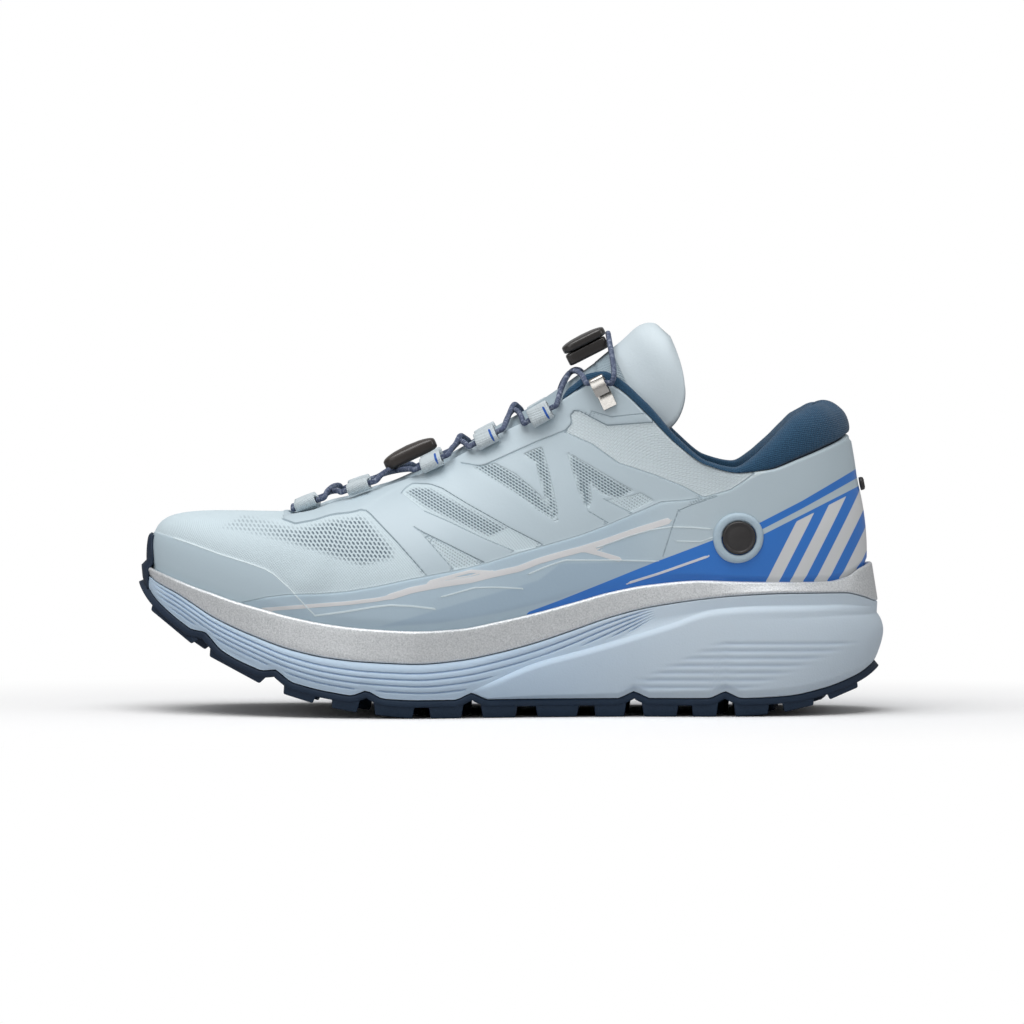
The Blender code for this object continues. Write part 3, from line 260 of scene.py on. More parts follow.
def bedLine(share):
    return column(soleLines, "bed", share) * shoe["soleHeight"]


def blockLine(share):
    return column(blockLines, "top", share) * shoe["soleHeight"]


lineEnds = {  # shares of the length where each line starts and stops
    "outsole": (0.0085, 0.985),
    "carrier": (0.0095, 0.989),
    "rim": (0.0085, 0.981),
}


def rounded(distance, reach, power):
    inside = 1 - min(max(distance / reach, 0.0), 1.0)
    return (1 - inside**power) ** (1 / power)


def endFactor(share, ends):
    # how much of the full width is left near the toe and the heel
    return rounded(share - ends[0], 0.3, 2.2) * rounded(ends[1] - share, 0.2, 2.1)


def sideInset(line, share):
    heel = ease(0.55, 0.8, share)
    insets = {
        "outsole": blend(0.0005, 0.0012, heel),
        "carrier": blend(0.0016, 0.0036, heel),
        "rim": blend(0.003, 0.0052, heel),
    }
    return insets[line]


def stationShare(u, ends):
    # a place along the sole, drawn in where a line stops short of the outsole
    base = lineEnds["outsole"]
    share = blend(base[0], base[1], u)
    front = max(0.0, 1 - (share - base[0]) / 0.16) ** 2
    back = max(0.0, 1 - (base[1] - share) / 0.2) ** 2
    return share + (ends[0] - base[0]) * front + (ends[1] - base[1]) * back


def soleHalf(share):
    return column(solePlan, "half", share) * shoe["ballWidth"]


def soleCentre(share):
    return column(solePlan, "centre", share) * shoe["ballWidth"]


def movedEnds(line, inside):
    step = inside / shoe["length"]
    return lineEnds[line][0] + step, lineEnds[line][1] - step


def planRing(stations, ends, inset, height):
    # closed ring: outer side from toe to heel, then the inner side back
    sides = {lateral: [], medial: []}
    for u in stations:
        share = stationShare(u, ends)
        half = soleHalf(share) - inset(share)
        half *= endFactor(share, ends)
        for side in sides:
            y = soleCentre(share) + side * half
            sides[side].append(Vector((xAt(share), y, height(share))))
    return sides[lateral] + sides[medial][-2:0:-1]


def lineRing(stations, line, height, inside=0.0):
    def inset(share):
        return sideInset(line, share) + inside

    return planRing(stations, movedEnds(line, inside), inset, height)


def aroundOf(q):
    # q runs once round the shoe: 0 at the toe, 1 at the heel, back to 2 on the inner side
    q = q % 2.0
    return (lateral, q) if q <= 1 else (medial, 2 - q)


def linePoint(q, line, inside, height):
    # a point of one of the sole's lines, at a place round the shoe
    side, around = aroundOf(q)
    ends = movedEnds(line, inside)
    share = stationShare((1 - math.cos(math.pi * around)) / 2, ends)
    half = soleHalf(share) - sideInset(line, share) - inside
    y = soleCentre(share) + side * half * endFactor(share, ends)
    return Vector((xAt(share), y, height(share)))


def rimPoint(q, inside, lift):
    return linePoint(q, "rim", inside, lambda s: rimLine(s) + lift)


def edgePoint(q):
    side, around = aroundOf(q)
    centre = column(openingEdge, "centre", around) * shoe["ballWidth"]
    half = column(openingEdge, "half", around) * shoe["ballWidth"]
    height = column(openingEdge, "height", around) * shoe["instepHeight"]
    return Vector((xAt(column(openingEdge, "share", around)), centre + side * half, height))


def upperHandles(q):
    # the four points that shape one section of the upper, from rim to edge
    around = aroundOf(q)[1]
    inside = shoe["rimWall"] + shoe["gap"]
    low = rimPoint(q, inside, shoe["gap"])
    high = edgePoint(q)
    along = rimPoint(q + 0.004, inside, 0) - rimPoint(q - 0.004, inside, 0)
    out = Vector((along.y, -along.x, 0)).normalized()
    across = Vector((high.x - low.x, high.y - low.y, 0))
    rise = high.z - low.z
    flare = column(upperFullness, "flare", around) * shoe["ballWidth"]
    belly = column(upperFullness, "belly", around) * shoe["ballWidth"]
    lower = low + out * flare + Vector((0, 0, rise * column(upperFullness, "rise", around)))
    upper = high - across * column(upperFullness, "reach", around) + out * belly
    upper.z -= rise * column(upperFullness, "drop", around)
    return low, lower, upper, high


def upperPoint(q, v):
    # v is 0 at the rim and 1 at the edge
    low, lower, upper, high = upperHandles(q)
    w = 1 - v
    return low * w**3 + lower * 3 * w * w * v + upper * 3 * w * v * v + high * v**3


def upperNormal(q, v):
    step = 0.006
    along = upperPoint(q + step, v) - upperPoint(q - step, v)
    up = upperPoint(q, min(v + step, 1.0)) - upperPoint(q, max(v - step, 0.0))
    return along.cross(up).normalized()


def upperOffset(q, v, out):
    return upperPoint(q, v) + upperNormal(q, v) * out


# places on the side of the shoe, read off the picture

def spot(px, py):
    # millimetres along and up the shoe, for a place in the picture
    x = (px - picture["middle"]) * picture["pixel"]
    return x, (picture["ground"] - py) * picture["pixel"] - picture["lift"]


def pathDistance(x, h, points):
    # millimetres from an open line
    best = np.full(x.shape, 1e9)
    for (ax, ah), (bx, bh) in zip(points[:-1], points[1:]):
        ax, ah = spot(ax, ah)
        bx, bh = spot(bx, bh)
        run = (bx - ax) ** 2 + (bh - ah) ** 2
        t = np.clip(((x - ax) * (bx - ax) + (h - ah) * (bh - ah)) / run, 0, 1)
        away = np.hypot(x - ax - t * (bx - ax), h - ah - t * (bh - ah))
        best = np.minimum(best, away)
    return best


def panelDistance(x, h, points):
    # millimetres inside a closed panel, negative outside
    closed = list(points) + [points[0]]
    inside = np.zeros(x.shape, dtype=bool)
    for (ax, ah), (bx, bh) in zip(closed[:-1], closed[1:]):
        ax, ah = spot(ax, ah)
        bx, bh = spot(bx, bh)
        if abs(bh - ah) < 1e-9:
            continue
        crosses = (ah > h) != (bh > h)
        inside ^= crosses & (x < (bx - ax) * (h - ah) / (bh - ah) + ax)
    best = pathDistance(x, h, closed)
    return np.where(inside, best, -best)


def strokeSides(x, h, strokes):
    # signed distance from the nearest stroke, as a share of its half width, and the plain
    # distance in millimetres past its edge
    signed = np.full(x.shape, 99.0)
    plain = np.full(x.shape, 99.0)
    for width, points in strokes:
        for (ax, ah), (bx, bh) in zip(points[:-1], points[1:]):
            ax, ah = spot(ax, ah)
            bx, bh = spot(bx, bh)
            run = (bx - ax) ** 2 + (bh - ah) ** 2
            t = np.clip(((x - ax) * (bx - ax) + (h - ah) * (bh - ah)) / run, 0, 1)
            away = np.hypot(x - ax - t * (bx - ax), h - ah - t * (bh - ah))
            turn = np.sign((bx - ax) * (h - ah) - (bh - ah) * (x - ax))
            nearer = away - width / 2 < plain
            plain = np.where(nearer, away - width / 2, plain)
            signed = np.where(nearer, turn * away / (width / 2), signed)
    return np.clip(signed, -40, 40), plain


def joined(*fields):
    # inside any of several panels
    return np.maximum.reduce(fields)


# small helpers for meshes and materials

def addMesh(name, points, faces, materialList, faceSlots=None, smooth=True):
    mesh = bpy.data.meshes.new(name)
    mesh.from_pydata([tuple(p) for p in points], [], faces)
    for made in materialList:
        mesh.materials.append(made)
    if faceSlots is not None:
        mesh.polygons.foreach_set("material_index", faceSlots)
    if smooth:
        mesh.shade_smooth()
    shown = bpy.data.objects.new(name, mesh)
    bpy.context.scene.collection.objects.link(shown)
    return shown


def gridFaces(rows, columns, closedColumns=True, closedRows=False, first=0):
    faces = []
    for r in range(rows if closedRows else rows - 1):
        for c in range(columns if closedColumns else columns - 1):
            a = first + r * columns + c
            b = first + r * columns + (c + 1) % columns
            up = columns * (1 if r < rows - 1 else 1 - rows)
            faces.append((a, b, b + up, a + up))
    return faces


def faceOut(shown, weld=False):
    edit = bmesh.new()
    edit.from_mesh(shown.data)
    if weld:
        bmesh.ops.remove_doubles(edit, verts=edit.verts, dist=1e-6)
    bmesh.ops.recalc_face_normals(edit, faces=edit.faces)
    if edit.calc_volume(signed=True) < 0:
        bmesh.ops.reverse_faces(edit, faces=edit.faces)
    edit.to_mesh(shown.data)
    edit.free()
    return shown


def setField(mesh, name, values):
    # a value at each point, for the shader to read
    made = mesh.attributes.new(name, "FLOAT", "POINT")
    made.data.foreach_set("value", np.asarray(values, dtype=np.float32).ravel())


def node(tree, kind, **settings):
    made = tree.nodes.new(kind)
    for key, value in settings.items():
        setattr(made, key, value)
    return made


def feed(tree, socket, value):
    if isinstance(value, bpy.types.NodeSocket):
        tree.links.new(value, socket)
    else:
        socket.default_value = value


def number(tree, operation, first, second=None, third=None, clamp=False):
    made = node(tree, "ShaderNodeMath", operation=operation, use_clamp=clamp)
    for socket, value in zip(made.inputs, (first, second, third)):
        if value is not None:
            feed(tree, socket, value)
    return made.outputs[0]


def times(tree, *values, clamp=False):
    return number(tree, "MULTIPLY", *values, clamp=clamp)


def timesPlus(tree, *values, clamp=False):
    return number(tree, "MULTIPLY_ADD", *values, clamp=clamp)


def rest(tree, value, clamp=False):
    # what is left of one
    return number(tree, "SUBTRACT", 1.0, value, clamp=clamp)


def paint(tree, shader, colour):
    tree.links.new(colour, shader.inputs["Base Color"])


def tint(tree, share, first, second):
    made = node(tree, "ShaderNodeMix", data_type="RGBA")
    feed(tree, made.inputs[0], share)
    for socket, colour in ((made.inputs[6], first), (made.inputs[7], second)):
        feed(tree, socket, colour if isinstance(colour, bpy.types.NodeSocket) else (*colour, 1.0))
    return made.outputs[2]


def shaded(colour, share):
    return tuple(channel * share for channel in colour)


def mixNumber(tree, share, first, second):
    made = node(tree, "ShaderNodeMix", data_type="FLOAT")
    feed(tree, made.inputs[0], share)
    feed(tree, made.inputs[2], first)
    feed(tree, made.inputs[3], second)
    return made.outputs[0]


def field(tree, name):
    return node(tree, "ShaderNodeAttribute", attribute_name=name).outputs["Fac"]


def edgeOf(tree, distance, soft, at=0.0):
    # 0 outside a panel, 1 inside, over a soft edge in millimetres
    made = node(tree, "ShaderNodeMapRange", interpolation_type="SMOOTHSTEP")
    feed(tree, made.inputs["Value"], distance)
    made.inputs["From Min"].default_value = at - soft
    made.inputs["From Max"].default_value = at + soft
    return made.outputs["Result"]


def grain(tree, scale, detail=2.0, roughness=0.5):
    made = node(tree, "ShaderNodeTexNoise")
    made.inputs["Scale"].default_value = scale
    made.inputs["Detail"].default_value = detail
    made.inputs["Roughness"].default_value = roughness
    place = node(tree, "ShaderNodeTexCoord").outputs["Object"]
    tree.links.new(place, made.inputs["Vector"])
    return made.outputs["Fac"]


def relief(tree, shader, height, depth=0.001):
    # fine relief as bump; depth in metres
    made = node(tree, "ShaderNodeBump")
    made.inputs["Strength"].default_value = 1.0
    made.inputs["Distance"].default_value = depth
    feed(tree, made.inputs["Height"], height)
    tree.links.new(made.outputs["Normal"], shader.inputs["Normal"])


def newMaterial(name, roughness, metallic=0.0, coat=0.0, specular=0.5):
    made = bpy.data.materials.new(name)
    made.use_nodes = True
    shader = made.node_tree.nodes["Principled BSDF"]
    shader.inputs["Roughness"].default_value = roughness
    shader.inputs["Metallic"].default_value = metallic
    shader.inputs["Coat Weight"].default_value = coat
    shader.inputs["Specular IOR Level"].default_value = specular
    return made, made.node_tree, shader


def dashRows(tree, x, h, angle, pitchAlong, pitchAcross, halfLong, halfWide):
    # staggered rows of slanted dashes, 1 on a dash
    turn = math.radians(angle)
    along = number(tree, "ADD", times(tree, x, math.cos(turn)), times(tree, h, math.sin(turn)))
    across = number(tree, "SUBTRACT", times(tree, h, math.cos(turn)), times(tree, x, math.sin(turn)))
    rowPlace = number(tree, "DIVIDE", across, pitchAcross)
    row = number(tree, "FLOOR", rowPlace)
    shift = times(tree, number(tree, "FLOORED_MODULO", row, 2.0), 0.5)
    dashPlace = number(tree, "ADD", number(tree, "DIVIDE", along, pitchAlong), shift)
    u = number(tree, "SUBTRACT", number(tree, "FRACT", dashPlace), 0.5)
    w = number(tree, "SUBTRACT", number(tree, "FRACT", rowPlace), 0.5)
    u = times(tree, u, pitchAlong / halfLong)
    w = times(tree, w, pitchAcross / halfWide)
    reach = number(tree, "SQRT", number(tree, "ADD", times(tree, u, u), times(tree, w, w)))
    return edgeOf(tree, rest(tree, reach), 0.35)


def weave(tree, s, t, pitch):
    # plain weave; the pitch in millimetres
    first = number(tree, "SINE", times(tree, s, 2 * math.pi / pitch))
    second = number(tree, "SINE", times(tree, t, 2 * math.pi / pitch))
    return times(tree, first, second)


print("helpers ready")

# the upper

upperLook = {
    "around": 600,
    "rows": 116,
    "liningRows": 14,
    "film": (0.535, 0.64, 0.7),
    "ventShade": (0.36, 0.45, 0.515),
    "mesh": (0.59, 0.695, 0.745),
    "guard": (0.49, 0.62, 0.715),
    "toeCap": (0.545, 0.665, 0.735),
    "knit": (0.68, 0.775, 0.815),
    "hole": (0.115, 0.165, 0.205),
    "seam": (0.25, 0.345, 0.41),
    "print": (0.79, 0.785, 0.79),
    "paleLine": (0.78, 0.89, 0.93),
    "blue": (0.036, 0.209, 0.678),
    "heelBars": (0.76, 0.775, 0.785),
    "lens": (0.35, 0.48, 0.61),
    "lining": (0.018, 0.06, 0.11),
    "liningDark": (0.012, 0.045, 0.085),
    "liningPale": (0.03, 0.085, 0.14),
    "seamDepth": 0.2,
    # dashes: slant, pitch along and across, half length and half width
    "toeDashes": (-54, 2.08, 1.3, 0.8, 0.36),
    "sideDashes": (-33, 1.44, 1.04, 0.6, 0.3),
    "fineDashes": (-33, 1.1, 1.1, 0.36, 0.26),
    "knitDashes": (38, 1.9, 1.1, 0.8, 0.42),
    # millimetres that each layer stands up
    "guardLift": 0.42,
    "stayLift": 0.3,
    "filmLift": 0.22,
    "paleLift": 0.14,
    "printLift": 0.08,
}
heelBars = {"count": 4, "first": (770, 583), "apart": 24, "lean": 63, "half": 2.3, "margin": 1.3}

# lines and panels, as places in the picture
guardTop = (
    (232, 604.5), (243, 602.4), (269.7, 596.7), (290.7, 594.2), (321.3, 593.3), (350, 591), (378.7, 586.2),
    (411.2, 579.1), (430, 575.7), (457.9, 570.4), (486.6, 563.2), (515.3, 554.2), (545.9, 545.6),
    (580, 535.5), (606.8, 525.5), (635.5, 513.1), (660.4, 502.5), (687.1, 500.6), (702.4, 497.7),
    (729.2, 490.1), (742.6, 481.5), (758, 470),
)
toeCapLine = (
    (176, 538), (192.2, 543.1), (221.8, 553.7), (252.4, 563.2), (267.7, 568.6), (276.5, 573.8),
    (292.6, 588.1), (307.9, 604.4), (317.5, 614.5),
)
quarterFront = ((362.3, 509.8), (367.5, 510.6), (372, 514.3), (397.8, 541.2), (428.4, 575.7))
knitEdge = (
    (566, 433), (591.5, 444.2), (618.3, 463.3), (652.7, 474.8), (681.4, 486.3), (704.4, 498.7),
)
stayLower = (
    (461.7, 463.3), (482.8, 467.1), (538.3, 442.3), (566, 431), (572.2, 424), (570.8, 416),
    (574.6, 411.2), (580, 411.7), (606.8, 426), (654.6, 422.8), (690, 420),
)
ventBack = ((402.4, 493), (408, 487), (413.9, 483.6), (431.1, 484.4), (442.6, 488.2), (471.3, 505.4),
            (509.6, 527.4), (545, 545.6))
panels = {
    "guard": guardTop + ((800, 440), (900, 440), (900, 660), (140, 660), (140, 600)),
    "toeCap": toeCapLine + ((324, 640), (100, 660), (100, 505), (150, 530)),
    "stay": ((284.8, 519.7), (297.2, 524.1), (337.4, 515)) + quarterFront[:1]
            + ((400, 488), (440, 470)) + stayLower + ((720, 300), (284, 300)),
    "quarter": quarterFront + ((420, 640), (720, 640), (720, 500)) + knitEdge[::-1]
               + ((571, 416), (574.6, 411.2), (562, 402), (440, 462), (400, 480)),
    "ventBack": ventBack + ((515.3, 551.3), (486.6, 538.9), (452.2, 522.6), (425.4, 511.1)),
    "ventLow": ((415.8, 527.4), (486.6, 562.8), (470, 567), (454.1, 568.5), (425.4, 536)),
    "ventMiddle": ((473.2, 467.1), (496.2, 463.3), (517.3, 474.8), (538, 493), (553, 512), (559.3, 523.6),
                   (540, 512), (511, 490)),
    "ventRidge": ((523, 454.5), (542.1, 447), (548, 466), (554, 492), (560.2, 523.6), (550, 509),
                  (542, 488), (536.5, 464), (530, 460)),
    "ventFront": ((567, 451.8), (580, 459.5), (606, 475), (634, 491), (618.3, 499.7), (600, 494),
                  (590, 484), (592, 500), (588, 512), (578, 490)),
    "ventTip": ((640, 492.6), (653.7, 500.6), (629.7, 512.1), (604, 499.5), (618.3, 499.7)),
    "knit": knitEdge + ((729, 490), (745, 481), (775, 468), (720, 430), (654.6, 422.8), (606.8, 426),
                        (580, 411.7), (574.6, 411.2), (570.8, 416), (572.2, 424)),
    "toeVents": ((214, 529), (245, 512), (297, 524.6), (337, 516), (361, 511.4), (371, 517), (397.8, 546),
                 (398.5, 561), (363.4, 569.5), (330.9, 559), (302.2, 549.5), (273.5, 541.5), (244.8, 534)),
    "backVents": ((404, 492), (414, 486.2), (431, 487), (471, 507.6), (511, 528.6), (491, 538),
                  (452, 521), (425, 508)),
    "lens": ((538.3, 580), (560, 563.5), (618, 562), (664, 559), (640, 568.5), (600, 583), (560, 598),
             (500, 612), (440, 622), (380, 626)),
    "wedge": ((528, 611.5), (560, 599.5), (580, 591.5), (618.3, 576.2), (656.5, 560.9), (694.8, 546.5),
              (712, 540.4), (713.9, 549.4), (721.6, 558), (733, 561), (746.4, 559.5), (753.5, 583),
              (753, 600), (600, 640), (520, 630)),
    "bridge": ((694.8, 546.5), (737, 530.4), (757.3, 523), (758.8, 530), (757, 537), (757, 560),
               (720, 556), (712, 548)),
    "heelField": ((757.2, 536.5), (800, 515), (835, 497.4), (868, 481), (880, 540), (880, 620),
                  (752, 620), (751.5, 584), (744.5, 560), (757, 550)),
    "heelStripe": ((757.3, 523), (800, 501), (856.4, 468.2), (861, 466), (862.5, 474.5), (800, 508.8),
                   (758.8, 530)),
    "cuffNavy": ((549, 399), (556, 392.5), (584, 374), (590, 384.5), (565, 399.5), (552, 404)),
}

printStrokes = (  # width in millimetres, then the line
    (1.5, ((262, 609.3), (302.2, 606), (350, 602.4), (378.7, 599), (398, 595.4))),
    (2.4, ((392, 596.3), (413.9, 589.5), (442.6, 583.9), (471.3, 579.6), (492.4, 574.3), (519.1, 568.5),
           (538.3, 561), (557.4, 555.4), (580, 549.4), (599.1, 543.7), (637.4, 530.3), (667, 521.2))),
    (1.9, ((580, 548.5), (600, 553.6), (618.3, 559))),
    (1.3, ((430, 582), (471.3, 571), (492.4, 572))),
    (0.95, ((627.8, 582.6), (656.5, 573.6), (706.3, 556.1))),
)
paleStrokes = (
    (0.55, toeCapLine),
    (0.75, ((316.5, 614.9), (346.2, 611), (374.9, 606.3), (392.1, 604.4), (413.1, 605.3), (436, 608))),
    (0.6, ((442.6, 596.3), (475.1, 587.2), (496.2, 586.7), (523, 588))),
    (0.6, ((528.7, 573.6), (547, 566), (565, 559.9), (614.4, 559.9), (656.5, 560.9))),
    (0.55, ((597.2, 547.5), (627.8, 536.4), (650, 530), (669.9, 526.9), (690, 527.4), (710.1, 529))),
    (0.45, ((676, 541), (700, 541.5), (712, 537))),
)
seamStrokes = (
    (0.55, guardTop),
    (0.5, quarterFront),
    (0.45, ((284.8, 519.7), (297.2, 524.1), (337.4, 515), (362.3, 509.8))),
    (0.45, stayLower),
    (0.4, ventBack),
    (0.4, ((425.4, 511.1), (452.2, 522.6), (486.6, 538.9), (515.3, 551.3))),
    (0.55, ((415.8, 527.4), (425.4, 533.1), (486.6, 562.8))),
    (0.35, ((425.4, 536), (454.1, 568.5))),
    (0.5, knitEdge),
    (0.45, ((677.6, 511.1), (671.8, 526.4), (667, 541.7), (662.3, 556))),
    (0.4, ((677.6, 511.1), (691, 505.4), (716, 496.5))),
    (0.45, ((583, 484), (587.7, 511.1), (608.7, 523.6))),
    (0.4, ((591.5, 411.7), (611.6, 417.6), (637.4, 414.9), (652, 413.6))),
    (0.4, ((604, 499.5), (629.7, 512.1))),
)
creases = (  # depth and half width in millimetres, then the line; troughs first, ridges last
    (0.55, 5.0, ((352, 508), (350, 540), (338, 575), (322, 604))),
    (0.45, 4.5, ((318, 514), (312, 540), (300, 566))),
    (0.4, 6.0, ((456, 470), (470, 510), (484, 560))),
    (0.35, 7.0, ((610, 430), (628, 470), (640, 520), (632, 570))),
    (0.5, 6.0, ((700, 462), (716, 492), (722, 512))),
    (0.4, 6.0, ((856, 480), (800, 520), (778, 570))),
    (-0.4, 6.5, ((332, 514), (329, 545), (316, 580))),
    (-0.3, 8.0, ((540, 452), (552, 500), (552, 560))),
    (-0.35, 8.0, ((668, 440), (680, 500), (682, 560))),
)


def gridNormals(points):
    along = np.roll(points, -1, axis=1) - np.roll(points, 1, axis=1)
    up = np.gradient(points, axis=0)
    across = np.cross(along, up)
    return across / np.maximum(np.linalg.norm(across, axis=2, keepdims=True), 1e-12)


def bezierGrid(places, rows):
    handles = np.array([[tuple(p) for p in upperHandles(q)] for q in places])
    v = np.array(rows)[:, None, None]
    w = 1 - v
    return (handles[:, 0] * w**3 + handles[:, 1] * 3 * w * w * v
            + handles[:, 2] * 3 * w * v * v + handles[:, 3] * v**3)


def pictureSide(points, count):
    # where each point shows on the outer side; the inner side mirrors it
    mirror = (-np.arange(count)) % count
    half = count // 2
    shown = points.copy()
    shown[:, half + 1:] = points[:, mirror[half + 1:]]
    x = shown[:, :, 0] * 1000
    return x, (shown[:, :, 2] + math.tan(picture["tilt"]) * shown[:, :, 1]) * 1000


def heelBarsAt(x, h):
    # slanted bars across the heel field
    lean = math.radians(heelBars["lean"])
    bars = np.full(x.shape, -9.0)
    for k in range(heelBars["count"]):
        start = spot(heelBars["first"][0] + heelBars["apart"] * k, heelBars["first"][1])
        away = (x - start[0]) * math.sin(lean) - (h - start[1]) * math.cos(lean)
        bars = np.maximum(bars, heelBars["half"] - np.abs(away))
    return bars


def upperFields(x, h):
    # what the shader reads at each point of the upper
    made = {name: panelDistance(x, h, points) for name, points in panels.items()}
    fields = {name: made[name] for name in ("guard", "toeCap", "knit", "lens", "heelField")}
    vents = joined(made["ventBack"], made["ventLow"], made["ventMiddle"], made["ventRidge"],
                   made["ventFront"], made["ventTip"])
    sheet = joined(made["guard"], made["toeCap"], made["stay"], made["quarter"])
    fields["film"] = np.minimum(sheet, -vents)
    fields["blue"] = joined(made["wedge"], made["bridge"], made["heelField"], made["heelStripe"])
    fields["cuff"] = made["cuffNavy"]
    for name, strokes in (("print", printStrokes), ("pale", paleStrokes), ("seam", seamStrokes)):
        fields[name + "Side"], fields[name + "Past"] = strokeSides(x, h, strokes)
    toe = easeAll(0.0, 3.5, made["toeVents"]) * easeAll(spot(205, 0)[0], spot(320, 0)[0], x)
    faint = easeAll(0.0, 2.5, made["toeVents"]) * easeAll(spot(200, 0)[0], spot(235, 0)[0], x)
    fields["toeVents"] = np.maximum(toe, 0.45 * faint)
    fields["sideVents"] = np.maximum.reduce([
        easeAll(0.0, 1.6, made["backVents"]),
        easeAll(0.0, 0.8, made["ventMiddle"]),
        easeAll(0.0, 0.8, made["ventRidge"]),
        easeAll(0.0, 1.0, made["ventFront"]),
    ])
    fields["fineMesh"] = easeAll(0.0, 1.0, np.maximum(made["ventLow"], made["ventTip"]))
    fields["bars"] = np.minimum(heelBarsAt(x, h), made["heelField"] - heelBars["margin"])
    return fields, made


def liftOf(fields, made, x, h):
    # how far the skin stands off its plain form, in millimetres
    look = upperLook
    onGuard = easeAll(-0.5, 0.5, made["guard"])
    lift = look["guardLift"] * onGuard
    lift += look["stayLift"] * easeAll(-0.5, 0.5, made["stay"]) * (1 - onGuard)
    lift += look["filmLift"] * easeAll(-0.4, 0.4, fields["film"])
    lift += look["paleLift"] * (1 - easeAll(-0.2, 0.4, fields["palePast"]))
    lift += look["printLift"] * (1 - easeAll(-0.3, 0.4, fields["printPast"]))
    for depth, width, line in creases:
        away = pathDistance(x, h, line)
        lift -= depth * np.exp(-(away / width) ** 2)
    return lift


def buildUpper():
    count = upperLook["around"]
    places = np.linspace(0, 2, count, endpoint=False)
    rows = np.linspace(0, 1, upperLook["rows"])
    skin = bezierGrid(places, rows)
    normals = gridNormals(skin)
    x, h = pictureSide(skin, count)
    fields, made = upperFields(x, h)
    lift = liftOf(fields, made, x, h) * easeAll(0.0, 0.05, rows)[:, None]
    outer = skin + normals * (lift * 0.001)[:, :, None]
    innerRows = np.linspace(1, 0, upperLook["liningRows"])
    inner = bezierGrid(places, innerRows)
    # these rows run downwards, so their normals point in
    inner = inner + gridNormals(inner) * shoe["wall"]
    inside = shoe["rimWall"] + shoe["gap"]
    foot = shoe["gap"] - shoe["rimRebate"]
    skirt = np.array([[tuple(rimPoint(q, inside, foot)) for q in places]])
    foldedIn = np.array([[tuple(rimPoint(q, inside + shoe["wall"], foot)) for q in places]])
    top, under = outer[-1:], inner[:1]
    up = skin[-1:] - skin[-2:-1]
    up = up / np.linalg.norm(up, axis=2, keepdims=True)
    # a rounded edge between the skin and the lining
    rim = [blend(top, under, s) + up * 0.0009 * math.sin(math.pi * s) ** 0.6
           for s in (0.25, 0.5, 0.75)]
    levels = np.concatenate([skirt, outer, *rim, inner, foldedIn])
    total = levels.shape[0]
    faces = gridFaces(total, count, True, True)
    outerLevels = 1 + len(rows) + 2
    slots = [0 if k // count < outerLevels else 1 for k in range(len(faces))]
    finishes = [upperSkin(), liningCloth()]
    shown = addMesh("upper_shell", levels.reshape(-1, 3), faces, finishes, slots)
    after = total - 1 - len(rows)
    for name, values in {**fields, "sideX": x, "sideH": h}.items():
        # the skirt and the lining take the nearest row's values
        edge = np.repeat(values[-1:], after, axis=0)
        setField(shown.data, name, np.concatenate([values[:1], values, edge]))
    stepAround = np.linalg.norm(np.roll(skin, -1, axis=1) - skin, axis=2)
    runAround = np.cumsum(stepAround.mean(axis=0)) * 1000
    runAround = np.minimum(runAround, runAround[-1] - runAround)  # from the toe, on both sides
    climb = np.linalg.norm(np.diff(skin, axis=0), axis=2).mean(axis=1)
    climb = np.concatenate([[0], np.cumsum(climb)]) * 1000
    s = np.broadcast_to(runAround, (total, count))
    t = np.concatenate([climb[:1], climb, np.repeat(climb[-1:], after)])[:, None]
    setField(shown.data, "clothS", s)
    setField(shown.data, "clothT", np.broadcast_to(t, (total, count)))
    faceOut(shown)
    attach(shown, "root")
    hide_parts("upper")
    print("upper made:", len(faces), "faces")
    return shown


def strokeOf(tree, name, soft):
    # 1 on the strokes of a group, with crisp edges
    across = number(tree, "ABSOLUTE", field(tree, name + "Side"))
    on = rest(tree, edgeOf(tree, across, soft, 1.0))
    near = rest(tree, edgeOf(tree, field(tree, name + "Past"), 0.2, 0.45))
    return times(tree, on, near)


